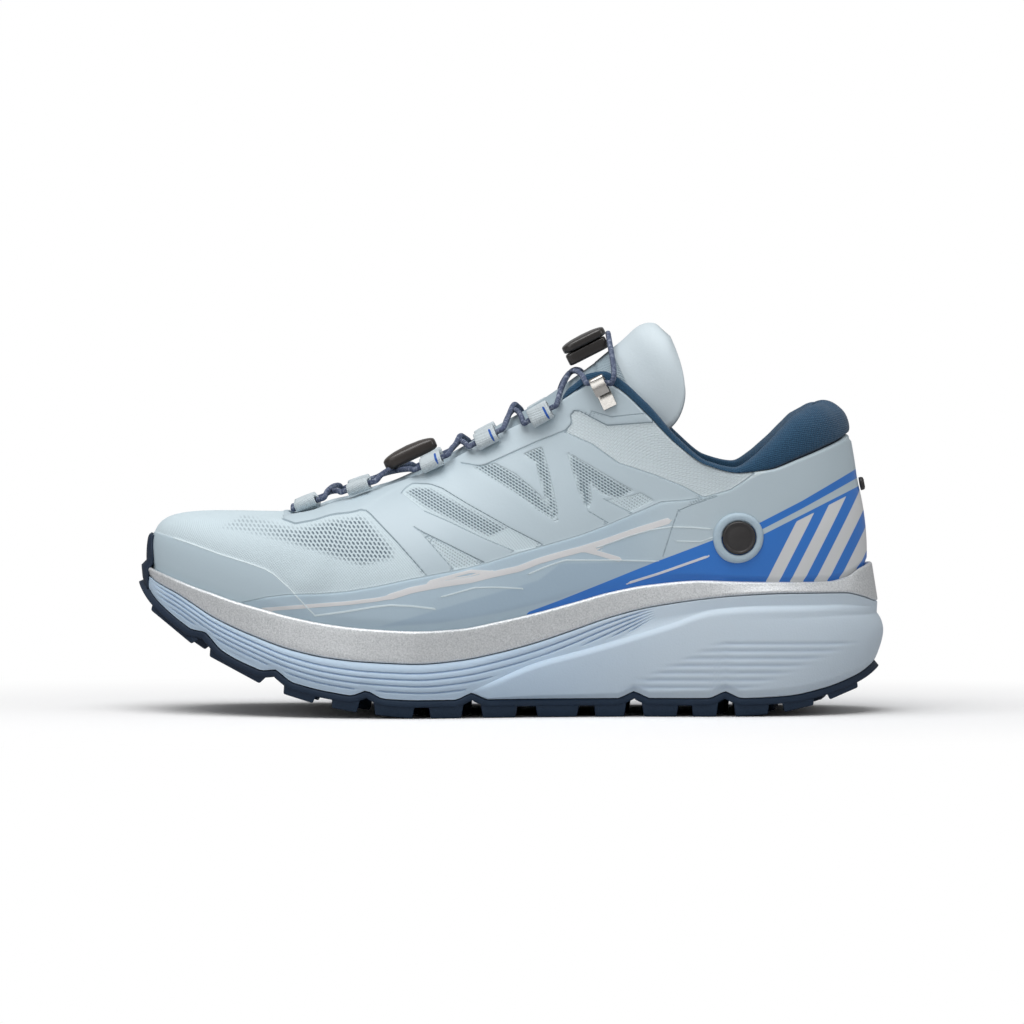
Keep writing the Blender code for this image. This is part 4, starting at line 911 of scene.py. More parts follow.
def upperSkin():
    made, tree, shader = newMaterial("satinFilmUpper", 0.5)
    look = upperLook
    x, h = field(tree, "sideX"), field(tree, "sideH")
    s, t = field(tree, "clothS"), field(tree, "clothT")
    cloth = weave(tree, s, t, 1.05)
    broad = grain(tree, 26, 2)
    fine = grain(tree, 900, 2)
    base = tint(tree, timesPlus(tree, cloth, 0.5, 0.5), look["mesh"], shaded(look["mesh"], 1.1))
    shade = times(tree, field(tree, "sideVents"), 0.3)
    base = tint(tree, shade, base, look["ventShade"])
    toeDots = dashRows(tree, x, h, *look["toeDashes"])
    toeDots = times(tree, toeDots, field(tree, "toeVents"))
    sideDots = dashRows(tree, x, h, *look["sideDashes"])
    sideDots = times(tree, sideDots, field(tree, "sideVents"))
    fineDots = dashRows(tree, x, h, *look["fineDashes"])
    fineDots = times(tree, fineDots, field(tree, "fineMesh"))
    fineDots = times(tree, fineDots, 0.45)
    dots = number(tree, "MAXIMUM", number(tree, "MAXIMUM", toeDots, sideDots), fineDots)
    base = tint(tree, times(tree, dots, 0.94), base, look["hole"])
    film = edgeOf(tree, field(tree, "film"), 0.16)
    knit = edgeOf(tree, field(tree, "knit"), 0.25)
    knitRows = dashRows(tree, x, h, *look["knitDashes"])
    knitColour = tint(tree, knitRows, shaded(look["knit"], 0.93), look["knit"])
    filmColour = tint(tree, broad, shaded(look["film"], 0.97), shaded(look["film"], 1.03))
    colour = tint(tree, film, base, filmColour)
    colour = tint(tree, edgeOf(tree, field(tree, "toeCap"), 0.3), colour, look["toeCap"])
    guard = edgeOf(tree, field(tree, "guard"), 0.18)
    heelward = node(tree, "ShaderNodeMapRange", interpolation_type="SMOOTHSTEP")
    tree.links.new(x, heelward.inputs["Value"])
    heelward.inputs["From Min"].default_value = spot(600, 0)[0]
    heelward.inputs["From Max"].default_value = spot(700, 0)[0]
    guardColour = tint(tree, heelward.outputs["Result"], look["guard"], look["film"])
    colour = tint(tree, guard, colour, guardColour)
    colour = tint(tree, knit, colour, knitColour)
    lens = times(tree, edgeOf(tree, field(tree, "lens"), 0.6), 0.55)
    colour = tint(tree, lens, colour, look["lens"])
    colour = tint(tree, edgeOf(tree, field(tree, "blue"), 0.12), colour, look["blue"])
    colour = tint(tree, edgeOf(tree, field(tree, "bars"), 0.12), colour, look["heelBars"])
    printed = strokeOf(tree, "print", 0.16)
    colour = tint(tree, times(tree, printed, 0.95), colour, look["print"])
    pale = strokeOf(tree, "pale", 0.3)
    colour = tint(tree, times(tree, pale, 0.85), colour, look["paleLine"])
    seam = strokeOf(tree, "seam", 0.45)
    colour = tint(tree, times(tree, seam, 0.62), colour, look["seam"])
    colour = tint(tree, edgeOf(tree, field(tree, "cuff"), 0.14), colour, look["lining"])
    paint(tree, shader, colour)
    rough = mixNumber(tree, film, 0.82, 0.46)
    rough = mixNumber(tree, knit, rough, 0.85)
    rough = mixNumber(tree, edgeOf(tree, field(tree, "blue"), 0.12), rough, 0.34)
    tree.links.new(rough, shader.inputs["Roughness"])
    openCloth = times(tree, cloth, rest(tree, film))
    openKnit = times(tree, knitRows, knit)
    height = times(tree, film, 0.2)
    for layer, step in ((guard, 0.18), (pale, 0.16), (printed, 0.08), (seam, -look["seamDepth"]),
                        (openCloth, 0.05), (openKnit, 0.05), (dots, -0.2), (fine, 0.035)):
        height = timesPlus(tree, layer, step, height)
    relief(tree, shader, height)
    return made


def liningCloth():
    made, tree, shader = newMaterial("navyLining", 0.92, specular=0.25)
    s, t = field(tree, "clothS"), field(tree, "clothT")
    ribs = weave(tree, s, t, 1.6)
    speck = grain(tree, 1200, 2)
    share = timesPlus(tree, ribs, 0.3, speck, clamp=True)
    colour = tint(tree, share, upperLook["liningDark"], upperLook["liningPale"])
    paint(tree, shader, colour)
    relief(tree, shader, timesPlus(tree, ribs, 0.12, speck))
    return made


buildUpper()

# the sole: rubber outsole, ribbed foam and the silver carrier

soleLook = {
    "stations": 210,
    "sheet": 0.0027,
    "lugRoot": 0.0012,
    "lugBevel": 0.00055,
    "lugTaper": 0.86,
    "sideBulge": 0.0016,
    "blockStep": 0.0014,
    "blockFront": 0.43,
    "blockRound": 0.0026,
    "bandRecess": 0.0011,
    "heelSwell": 0.003,
    "blockRings": 70,
    "bandLines": 5,
    "lip": 1.3,
    "grooveDepth": 0.42,
    "ribDepth": 0.4,
    "ribPitch": 2.83,
    "rubber": (0.0085, 0.0225, 0.05),
    "rubberWorn": (0.015, 0.038, 0.076),
    "foam": (0.52, 0.655, 0.8),
    "foamPale": (0.61, 0.71, 0.8),
    # painted shade for the sunk grooves and the troughs between the ribs
    "foamGrooveShade": (0.33, 0.47, 0.69),
    "carrierFloor": 0.005,
    "cupWidth": 0.0085,
    "silverDark": (0.54, 0.565, 0.58),
    "silverPale": (0.85, 0.87, 0.885),
    "silver": (0.73, 0.75, 0.765),
}

sideLugs = (  # each lug's two ends, as shares of the length
    (0.024, 0.086), (0.101, 0.176), (0.199, 0.243), (0.262, 0.299), (0.317, 0.372), (0.389, 0.436),
    (0.458, 0.508), (0.53, 0.59), (0.608, 0.652), (0.672, 0.722), (0.738, 0.774), (0.794, 0.842),
    (0.858, 0.9), (0.916, 0.958),
)
middleLugs = (  # middle as a share of the length, and slant
    (0.075, 0.3), (0.148, 0.3), (0.222, 0.34), (0.288, 0.34), (0.352, 0.34), (0.42, 0.34),
    (0.64, -0.3), (0.706, -0.3), (0.772, -0.34), (0.838, -0.34), (0.9, -0.3),
)
# how far across the lugs reach, as shares of the half width, and a middle lug's length
lugReach = {"side": (0.6, 0.985), "middle": (0.07, 0.46), "length": 0.0115}

bandGrooves = (  # millimetres under the carrier's edge: the first line, and the room between lines
    ("share", "first", "pitch"),
    (0.0, 1.0, 1.4),
    (0.055, 1.5, 1.85),
    (0.131, 1.9, 1.95),
    (0.24, 2.8, 2.3),
    (0.341, 3.3, 2.45),
    (0.42, 3.2, 2.65),
    (0.483, 3.0, 2.7),
    (0.55, 2.7, 2.55),
    (0.62, 1.9, 2.1),
    (0.66, 1.2, 1.45),
    (0.7, 0.6, 0.8),
    (1.0, 0.6, 0.8),
)

stations = [(1 - math.cos(math.pi * k / soleLook["stations"])) / 2
            for k in range(soleLook["stations"] + 1)]


def sheetFace(share, depth, line):
    # a point of the sole line, moved square to it
    step = 0.0015
    before = Vector((xAt(share - step), 0, line(share - step)))
    after = Vector((xAt(share + step), 0, line(share + step)))
    run = (after - before).normalized()
    down = Vector((run.z, 0, -run.x))
    return Vector((xAt(share), 0, line(share))) + down * depth


def treadDepth(share):
    return column(soleLines, "tread", share) * shoe["soleHeight"]


def lugCorners(first, last, side, reach, slant):
    # four corners on the ground, then four at the root
    ends = lineEnds["outsole"]
    middle = ((first + last) / 2, sum(reach) / 2)
    tops, feet = [], []
    for along, across in ((first, reach[0]), (last, reach[0]), (last, reach[1]), (first, reach[1])):
        for kept, wide in ((tops, 1.0), (feet, soleLook["lugTaper"])):
            at = middle[0] + (along - middle[0]) * wide
            out = middle[1] + (across - middle[1]) * wide
            at += slant * (out - lugReach["middle"][0]) * 0.06
            half = soleHalf(at) - sideInset("outsole", at)
            y = soleCentre(at) + side * out * half * endFactor(at, ends)
            if kept is tops:
                face = sheetFace(at, soleLook["lugRoot"], smoothLine)
            else:
                face = sheetFace(at, treadDepth(at), smoothLine)
                face.z = max(0.0, face.z)
            kept.append(Vector((face.x, y, face.z)))
    return feet + tops


def rubberFinish():
    made, tree, shader = newMaterial("navyRubber", 0.62, specular=0.4)
    cloud = grain(tree, 60, 3)
    fine = grain(tree, 1500, 2)
    place = node(tree, "ShaderNodeTexCoord").outputs["Object"]
    split = node(tree, "ShaderNodeSeparateXYZ")
    tree.links.new(place, split.inputs[0])
    low = rest(tree, times(tree, split.outputs["Z"], 55.0), clamp=True)
    share = times(tree, low, timesPlus(tree, cloud, 0.6, 0.5), clamp=True)
    colour = tint(tree, share, soleLook["rubber"], soleLook["rubberWorn"])
    paint(tree, shader, colour)
    relief(tree, shader, fine, 0.00012)
    return made


def buildOutsole():
    ends = lineEnds["outsole"]
    finish = rubberFinish()

    def sheetRing(depth, inside):
        flat = planRing(stations, ends, lambda s: sideInset("outsole", s) + inside, lambda s: s)
        moved = []
        for point in flat:
            at = sheetFace(point.z, depth, outsoleLine)
            moved.append(Vector((at.x, point.y, at.z)))
        return moved

    # depth under the sole line, and how far in: up the inside, over the edge, underneath
    thick = soleLook["sheet"]
    levels = [(thick, 0.03), (thick, 0.0012), (thick - 0.0003, 0.0004), (thick - 0.0008, 0.0001),
              (0.0008, -0.0001), (0.0003, 0.0001), (0.0, 0.0006), (0.0, 0.006)]
    rings = [sheetRing(depth, inside) for depth, inside in levels]
    count = len(rings[0])
    points = [p for ring in rings for p in ring]
    faces = gridFaces(len(rings), count)
    half = count // 2
    for first in (0, (len(rings) - 1) * count):
        # both broad faces are filled across from side to side
        for k in range(1, half):
            a, b = first + k, first + k + 1
            c, d = first + count - k - 1, first + (count - k) % count
            faces.append((a, b, c, d) if b != c else (a, b, d))
        faces.append((first, first + 1, first + count - 1))
    sheet = addMesh("outsole_sheet", points, faces, [finish])
    faceOut(sheet)
    bodies = bmesh.new()
    lugs = []
    for side in (lateral, medial):
        lugs += [lugCorners(first, last, side, lugReach["side"], 0.0) for first, last in sideLugs]
        for share, slant in middleLugs:
            reach = lugReach["length"] / 2 / shoe["length"]
            lugs.append(lugCorners(share - reach, share + reach, side, lugReach["middle"], slant))
    quads = ((0, 3, 2, 1), (4, 5, 6, 7), (0, 1, 5, 4), (1, 2, 6, 5), (2, 3, 7, 6), (3, 0, 4, 7))
    for corners in lugs:
        made = [bodies.verts.new(corner) for corner in corners]
        for quad in quads:
            bodies.faces.new([made[k] for k in quad])
    bmesh.ops.bevel(bodies, geom=list(bodies.edges), offset=soleLook["lugBevel"], segments=2,
                    profile=0.5, affect="EDGES")
    bmesh.ops.recalc_face_normals(bodies, faces=bodies.faces)
    mesh = bpy.data.meshes.new("outsole_lugs")
    bodies.to_mesh(mesh)
    bodies.free()
    mesh.materials.append(finish)
    mesh.shade_smooth()
    mesh.set_sharp_from_angle(angle=math.radians(50))
    treads = bpy.data.objects.new("outsole_lugs", mesh)
    bpy.context.scene.collection.objects.link(treads)
    for shown in (sheet, treads):
        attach(shown, "root")
        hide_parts("outsole")
    print("outsole made:", len(lugs), "lugs")


def blockShare(share):
    # 0 in front of the heel block, 1 on it
    return ease(soleLook["blockFront"], 0.52, share)


def foamInset(share, lineShare):
    straight = blend(sideInset("outsole", share), sideInset("carrier", share), lineShare)
    inside = min(max(lineShare, 0.0), 1.0)
    return straight - soleLook["sideBulge"] * math.sin(math.pi * inside) ** 0.8


def blockPart(share):
    # how much of the foam's height the block takes up
    if share <= soleLook["blockFront"]:
        return 0.0
    floor = outsoleLine(share) + shoe["gap"]
    full = (blockLine(share) - floor) / (carrierLine(share) - floor)
    return max(0.0, full) * ease(soleLook["blockFront"], soleLook["blockFront"] + 0.03, share)


def foamEnds(toeLevel, heelLevel):
    first = blend(lineEnds["outsole"][0], lineEnds["carrier"][0], toeLevel)
    last = blend(lineEnds["outsole"][1], lineEnds["carrier"][1], heelLevel)
    rise = math.sin(math.pi * min(heelLevel * 1.25, 1.0)) ** 0.7
    return first, last + soleLook["heelSwell"] / shoe["length"] * rise


def blockRing(u):
    def inset(share):
        part = blockPart(share)
        high = carrierLine(share) - outsoleLine(share)
        fromTop = (1 - u) * part * high
        fold = 1 - min(fromTop / soleLook["blockRound"], 1.0)
        step = soleLook["blockStep"] * math.sqrt(max(1 - fold**2, 0.0))
        step -= soleLook["bandRecess"] * fold**2
        return foamInset(share, u * part) - step * blockShare(share) * ease(0.0, 0.1, u)

    def height(share):
        floor = outsoleLine(share) + shoe["gap"]
        return floor + (carrierLine(share) - floor) * u * blockPart(share)

    return planRing(stations, foamEnds(0.0, u * blockPart(0.99)), inset, height)


def freeBand(share):
    # millimetres between the carrier's edge and the block, or the rubber in front of it
    floor = outsoleLine(share) + shoe["gap"]
    return (carrierLine(share) - floor) * (1 - blockPart(share)) * 1000


def kept(value, limit):
    # follows value, then nears the limit without reaching it
    knee = 0.8 * limit
    if value < knee:
        return value
    return limit - 0.2 * limit * math.exp(-(value - knee) / (0.2 * limit))


def bandRing(under):
    # a ring of the ribbed band; under is its depth below the carrier's edge
    def partBelow(share):
        free = freeBand(share)
        return min(kept(under(share), free * 0.995), free) / max(free, 1e-6)

    def lineShare(share):
        part = blockPart(share)
        return part + (1 - part) * (1 - partBelow(share))

    def inset(share):
        recess = soleLook["bandRecess"] * blockShare(share) * partBelow(share)
        return foamInset(share, lineShare(share)) + recess

    def height(share):
        floor = outsoleLine(share) + shoe["gap"]
        return floor + (carrierLine(share) - floor) * lineShare(share)

    return planRing(stations, foamEnds(1 - partBelow(0.01), lineShare(0.99)), inset, height)


def dishLine(share):
    return bedLine(share) - soleLook["carrierFloor"]


def grooveLine(k, off):
    # off is a share of the room between two lines
    def depth(share):
        pitch = column(bandGrooves, "pitch", share)
        return column(bandGrooves, "first", share) + (k + off) * pitch

    return depth


def foamRings():
    # upwards: the foot, the heel block, the ribbed band, and the lip under the carrier
    rings = [planRing(stations, foamEnds(0.0, 0.0), lambda s: sideInset("outsole", s) + 0.006,
                      lambda s: outsoleLine(s) + shoe["gap"])]
    steps = soleLook["blockRings"]
    rings += [blockRing(k / steps) for k in range(steps + 1)]
    lines = [grooveLine(k, off) for k in range(soleLook["bandLines"])
             for off in (-0.17, -0.08, 0.0, 0.08, 0.17, 0.5)]
    rings += [bandRing(line) for line in reversed(lines)]
    rings.append(bandRing(lambda s: 0.45 * column(bandGrooves, "first", s)))
    rings.append(bandRing(lambda s: 0.0))
    rings.append(lineRing(stations, "carrier", lambda s: carrierLine(s) + 0.0001, 0.0016))
    return rings


def ribsOn(x, h):
    # the block's ribs fade out at both ends, and above and below
    left = spot(619, 0)[0] + (h - spot(0, 687)[1]) * (711 - 619) / (687 - 643)
    right = spot(757, 0)[0] + (h - spot(0, 687)[1]) * (839 - 757) / (687 - 650)
    zone = easeAll(0, 9.0, x - left + 2) * easeAll(0, 12.0, right + 3 - x)
    zone *= easeAll(spot(0, 690.5)[1], spot(0, 688)[1], h)
    zone *= 1 - easeAll(spot(0, 643)[1], spot(0, 638)[1], h)
    wave = 0.5 + 0.5 * np.cos(2 * math.pi * (h - spot(0, 686.2)[1]) / soleLook["ribPitch"])
    return wave**2 * zone


def buildFoam():
    base = np.array([[tuple(p) for p in ring] for ring in foamRings()])
    rows, count = base.shape[:2]
    normals = gridNormals(base)
    facing = normals[:, :, 0] * base[:, :, 0] + normals[:, :, 1] * base[:, :, 1]
    normals *= np.where(np.median(facing) < 0, -1, 1)
    x, h = pictureSide(base, count)
    shares = base[:, :, 0] / shoe["length"] + 0.5
    keys = np.linspace(0, 1, 800)

    def spread(values):
        return np.interp(shares, keys, values)

    below = (spread([carrierLine(s) for s in keys]) - base[:, :, 2]) * 1000
    free = spread([freeBand(s) for s in keys])
    first = spread([column(bandGrooves, "first", s) for s in keys])
    pitch = spread([column(bandGrooves, "pitch", s) for s in keys])
    line = (below - first) / pitch
    nearest = np.clip(np.round(line), 0, soleLook["bandLines"] - 1)
    away = (line - nearest) * pitch
    centre = first + nearest * pitch
    fade = easeAll(0.0, 1.2, free - soleLook["lip"] - centre)
    fade *= (1 - easeAll(0.655, 0.695, shares)) * easeAll(0.018, 0.045, shares)
    groove = np.exp(-(away / 0.26) ** 2) * fade
    rib = ribsOn(x, h)
    sink = (soleLook["grooveDepth"] * groove + soleLook["ribDepth"] * rib) * 0.001
    moved = base - normals * sink[:, :, None]
    shown = addMesh("midsole_foam", moved.reshape(-1, 3), gridFaces(rows, count), [foamFinish()])
    setField(shown.data, "grooveAway", np.where(fade > 0.02, np.abs(away), 9.0))
    setField(shown.data, "grooveFade", fade)
    setField(shown.data, "rib", rib)
    setField(shown.data, "stationShare", shares)
    faceOut(shown)
    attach(shown, "root")
    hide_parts("midsole")
    print("foam made:", rows * count, "faces")


def foamFinish():
    made, tree, shader = newMaterial("ribbedFoam", 0.58, specular=0.35)
    away = field(tree, "grooveAway")
    line = rest(tree, edgeOf(tree, away, 0.16, 0.26))
    line = times(tree, line, field(tree, "grooveFade"))
    share = edgeOf(tree, field(tree, "stationShare"), 0.16, 0.62)
    colour = tint(tree, share, soleLook["foam"], soleLook["foamPale"])
    # the grooves and the troughs between the ribs are darkened: painted shade in the hollows
    for hollow, strength in ((line, 0.85), (field(tree, "rib"), 0.22)):
        darker = times(tree, hollow, strength)
        colour = tint(tree, darker, colour, soleLook["foamGrooveShade"])
    paint(tree, shader, colour)
    shader.inputs["Subsurface Weight"].default_value = 0.04
    shader.inputs["Subsurface Radius"].default_value = (0.002, 0.003, 0.004)
    fine = grain(tree, 1400, 3)
    height = timesPlus(tree, line, -0.35, times(tree, fine, 0.06))
    relief(tree, shader, height)
    return made


def silverFinish():
    made, tree, shader = newMaterial("silverPaint", 0.36, metallic=0.4)
    speck = grain(tree, 1500, 2, roughness=0.7)
    broad = grain(tree, 330, 3)
    share = timesPlus(tree, speck, 2.8, -0.92, clamp=True)
    colour = tint(tree, share, soleLook["silverDark"], soleLook["silverPale"])
    even = timesPlus(tree, broad, 0.9, -0.2, clamp=True)
    colour = tint(tree, even, colour, soleLook["silver"])
    paint(tree, shader, colour)
    relief(tree, shader, speck, 0.00014)
    return made


def buildCarrier():
    inner = shoe["rimWall"] + shoe["gap"] + shoe["wall"] + 0.0008
    gap = shoe["gap"]

    def edge(height, inside=0.0, line="carrier"):
        return lineRing(stations, line, height, inside)

    def between(part):
        # the face of the rim, from its foot to its top
        low = np.array(edge(lambda s: carrierLine(s) + 2 * gap + 0.0006, -0.0001))
        high = np.array(edge(lambda s: rimLine(s) - 0.0012, -0.0003, "rim"))
        return [Vector(p) for p in blend(low, high, part)]

    rings = [
        edge(lambda s: dishLine(s) + 2 * gap, soleLook["cupWidth"]),
        edge(lambda s: carrierLine(s) + gap * 1.2, 0.0014),
        edge(lambda s: carrierLine(s) + gap * 1.4, 0.0004),
        edge(lambda s: carrierLine(s) + 2 * gap + 0.0002, 0.0),
        edge(lambda s: carrierLine(s) + 2 * gap + 0.0006, -0.0001),
    ]
    rings += [between(k / 6) for k in range(1, 6)]
    rings += [
        edge(lambda s: rimLine(s) - 0.0012, -0.0003, "rim"),
        edge(lambda s: rimLine(s) - 0.0006, -0.0001, "rim"),
        edge(lambda s: rimLine(s) - 0.00015, 0.0004, "rim"),
        edge(rimLine, 0.0009, "rim"),
        edge(lambda s: rimLine(s) - 0.0001, shoe["rimWall"] - 0.0003, "rim"),
        edge(lambda s: rimLine(s) - 0.0004, shoe["rimWall"], "rim"),
        edge(lambda s: rimLine(s) - shoe["rimRebate"], shoe["rimWall"], "rim"),
        edge(lambda s: rimLine(s) - shoe["rimRebate"], inner, "rim"),
        edge(bedLine, inner + soleLook["cupWidth"], "rim"),
    ]
    points = [p for ring in rings for p in ring]
    shown = addMesh("silver_carrier", points, gridFaces(len(rings), len(rings[0])), [silverFinish()])
    faceOut(shown)
    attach(shown, "root")
    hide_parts("midsole_carrier")
    print("carrier made:", len(rings), "rings")


buildOutsole()
buildFoam()
buildCarrier()

# the collar padding and the tongue

collarLook = {
    "high": 0.0135,
    "deep": 0.0185,
    "first": 0.557,
    "seat": 0.0005,
    "places": 300,
    "steps": 4,
    "navy": (0.0095, 0.043, 0.097),
    "navyLight": (0.0255, 0.098, 0.183),
}
collarSizes = (
    ("around", "rise", "depth", "reach"),
    (0.56, 0.24, 0.16, 0.16),
    (0.59, 0.3, 0.17, 0.3),
    (0.64, 0.32, 0.18, 0.34),
    (0.67, 0.22, 0.2, 0.38),
    (0.7, 0.13, 0.24, 0.42),
    (0.733, 0.17, 0.32, 0.44),
    (0.757, 0.42, 0.46, 0.46),
    (0.784, 0.8, 0.62, 0.48),
    (0.812, 1.05, 0.76, 0.5),
    (0.838, 1.18, 0.86, 0.5),
    (0.88, 1.19, 0.94, 0.5),
    (0.93, 1.06, 0.98, 0.52),
    (1.0, 0.96, 1.0, 0.52),
)
collarProfile = (  # inward and upward, as shares of the pad's depth and rise
    (0.0, 0.1), (0.0, 0.38), (0.1, 0.7), (0.3, 0.93), (0.55, 1.0), (0.8, 0.86), (1.0, 0.45),
)


def collarSection(q):
    around = aroundOf(q)[1]
    rise = column(collarSizes, "rise", around) * collarLook["high"]
    depth = column(collarSizes, "depth", around) * collarLook["deep"]
    reach = column(collarSizes, "reach", around)
    edge = edgePoint(q)
    normal = upperNormal(q, 1.0)
    level = Vector((normal.x, normal.y, 0)).normalized()
    up = Vector((0, 0, 1))
    section = []
    for inward, upward in collarProfile:
        section.append(edge - level * inward * depth + up * (collarLook["seat"] + upward * rise))
    thick = shoe["wall"] + collarLook["seat"]
    for back, full in ((0.86, 1.0), (0.5, 0.8), (0.0, 0.35)):
        v = 1 - reach * (1 - back)
        section.append(upperOffset(q, v, -thick - max(depth * full - shoe["wall"], 0.0012)))
    for back in (0.0, 0.5, 0.86):
        v = 1 - reach * (1 - back)
        section.append(upperOffset(q, v, -thick))
    section.append(edge - level * (thick + 0.0002) + up * collarLook["seat"] * 0.4)
    return section


def curveSteps(before, start, end, after, steps):
    # points from start up to end, on a smooth curve through all four
    made = []
    for k in range(steps):
        u = k / steps
        made.append(0.5 * (2 * start + (end - before) * u
                           + (2 * before - 5 * start + 4 * end - after) * u * u
                           + (3 * start - before - 3 * end + after) * u**3))
    return made


def roundedLoop(points, steps):
    # closed smooth curve through the corners of a section
    count = len(points)
    made = []
    for i in range(count):
        end, after = points[(i + 1) % count], points[(i + 2) % count]
        made += curveSteps(points[i - 1], points[i], end, after, steps)
    return made


def smoothPath(points, steps):
    # the same, open at both ends
    path = []
    for i in range(len(points) - 1):
        before, after = points[max(i - 1, 0)], points[min(i + 2, len(points) - 1)]
        path += curveSteps(before, points[i], points[i + 1], after, steps)
    return path + [points[-1]]


def collarCloth():
    made, tree, shader = newMaterial("navyCollarKnit", 0.88, specular=0.3)
    s, t = field(tree, "clothS"), field(tree, "clothT")
    wales = number(tree, "SINE", times(tree, s, 2 * math.pi / 0.85))
    slant = number(tree, "ADD", times(tree, s, 3.4), times(tree, t, 7.4))
    courses = number(tree, "SINE", slant)
    knit = timesPlus(tree, wales, 0.5, times(tree, courses, 0.5))
    speck = grain(tree, 1500, 2)
    share = timesPlus(tree, knit, 0.35, speck, clamp=True)
    colour = tint(tree, share, collarLook["navy"], collarLook["navyLight"])
    paint(tree, shader, colour)
    shader.inputs["Sheen Weight"].default_value = 0.22
    shader.inputs["Sheen Roughness"].default_value = 0.5
    rough = times(tree, speck, 0.12)
    relief(tree, shader, timesPlus(tree, knit, 0.1, rough))
    return made


def buildCollar():
    first = collarLook["first"]
    places = np.linspace(first, 2 - first, collarLook["places"])
    rings = [roundedLoop(collarSection(q), collarLook["steps"]) for q in places]
    grid = np.array([[tuple(p) for p in ring] for ring in rings])
    rows, count = grid.shape[:2]
    middle = grid.mean(axis=1, keepdims=True)
    for end, share in ((0, 0.35), (1, 0.75), (2, 0.93)):
        # both ends close round and small
        for row in (end, rows - 1 - end):
            grid[row] = middle[row] + (grid[row] - middle[row]) * share
    points = grid.reshape(-1, 3)
    faces = gridFaces(rows, count)
    faces.append(tuple(range(count)))
    faces.append(tuple(range(rows * count - 1, (rows - 1) * count - 1, -1)))
    shown = addMesh("collar_pad", points, faces, [collarCloth()])
    stepAlong = np.linalg.norm(np.diff(grid[:, 8], axis=0), axis=1)
    s = np.concatenate([[0], np.cumsum(stepAlong)]) * 1000
    stepRound = np.linalg.norm(np.roll(grid, -1, axis=1) - grid, axis=2)
    t = np.cumsum(stepRound, axis=1) * 1000
    setField(shown.data, "clothS", np.broadcast_to(s[:, None], (rows, count)))
    setField(shown.data, "clothT", t)
    faceOut(shown)
    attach(shown, "root")
    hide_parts("collar")
    print("collar made:", rows, "sections")


tongueLook = {
    "thick": 0.0042,
    "seat": 0.0013,
    "wings": (0.84, 0.92),
    "shares": (0.18, 0.36, 0.5, 0.64, 0.82),
    "first": 0.125,
    "last": 0.545,
    "rows": 18,
    "freeRows": 22,
    "steps": 4,
    "easing": 40,  # passes that round the free top
    "swell": 0.0011,
    "film": (0.66, 0.745, 0.79),
    "filmShade": (0.6, 0.69, 0.74),
    "mesh": (0.44, 0.54, 0.6),
    "meshShade": (0.3, 0.39, 0.45),
}
tongueRidge = (  # the free top: its ridge, and how far its sides spread, fall and trail
    ("around", "share", "height", "half", "fall", "trail"),
    (0.6, 0.605, 0.893, 0.205, 0.2, 0.03),
    (0.7, 0.632, 0.936, 0.218, 0.225, 0.052),
    (0.8, 0.656, 0.97, 0.225, 0.215, 0.062),
    (0.88, 0.67, 0.989, 0.222, 0.172, 0.061),
    (0.94, 0.68, 0.998, 0.2, 0.12, 0.049),
    (1.0, 0.69, 0.998, 0.152, 0.058, 0.029),
    (1.05, 0.7, 0.988, 0.09, 0.02, 0.012),
)
ridgeCrown = (  # rise of the tongue's middle between the eyestays
    ("around", "crown"),
    (0.1, 0.006), (0.2, 0.008), (0.3, 0.011), (0.37, 0.014), (0.41, 0.017), (0.48, 0.019), (0.53, 0.021),
    (0.56, 0.025),
)
tongueToe = (  # the tongue's foot, under the vamp
    ("column", "around", "front", "back"),
    (0, 0.11, 0.825, 0.84),
    (1, 0.098, 0.825, 0.89),
    (2, 0.082, 0.83, 0.945),
    (3, 0.056, 0.84, 0.955),
    (4, 0.028, 0.845, 0.96),
    (5, 0.0, 0.845, 0.96),
)


def tongueAcross(around, share):
    under = shoe["wall"] + tongueLook["seat"]
    left = upperOffset(around, 0.995, -under)
    right = upperOffset(2 - around, 0.995, -under)
    crown = column(ridgeCrown, "crown", around) * shoe["length"]
    return left.lerp(right, share) + Vector((0, 0, crown * math.sin(math.pi * share) ** 0.8))


def tongueRow(around):
    under = shoe["wall"] + tongueLook["seat"]
    row = [upperOffset(around, v, -under) for v in tongueLook["wings"]]
    row += [tongueAcross(around, share) for share in (0.0, *tongueLook["shares"], 1.0)]
    return row + [upperOffset(2 - around, v, -under) for v in reversed(tongueLook["wings"])]


def toeRow(name):
    under = shoe["wall"] + 2 * tongueLook["seat"]
    place = tongueToe[0].index(name)
    half = [upperOffset(row[1], row[place], -under) for row in tongueToe[1:]]
    return half + [upperOffset(2 - row[1], row[place], -under) for row in reversed(tongueToe[1:-1])]


def freeTongueRow(around):
    ridge = Vector((xAt(column(tongueRidge, "share", around)), 0, 0))
    ridge.z = column(tongueRidge, "height", around) * shoe["tongueHeight"]
    half = column(tongueRidge, "half", around) * shoe["ballWidth"]
    fall = column(tongueRidge, "fall", around) * shoe["tongueHeight"]
    trail = column(tongueRidge, "trail", around) * shoe["length"]
    centre = column(openingEdge, "centre", 0.6) * shoe["ballWidth"]
    row = []
    for share in (-1, -0.84, -0.66, -0.44, -0.22, 0, 0.22, 0.44, 0.66, 0.84, 1):
        angle = share * math.pi / 2
        sink = 1 - math.cos(angle)
        row.append(ridge + Vector((trail * sink, centre + half * math.sin(angle), -fall * sink)))
    return row


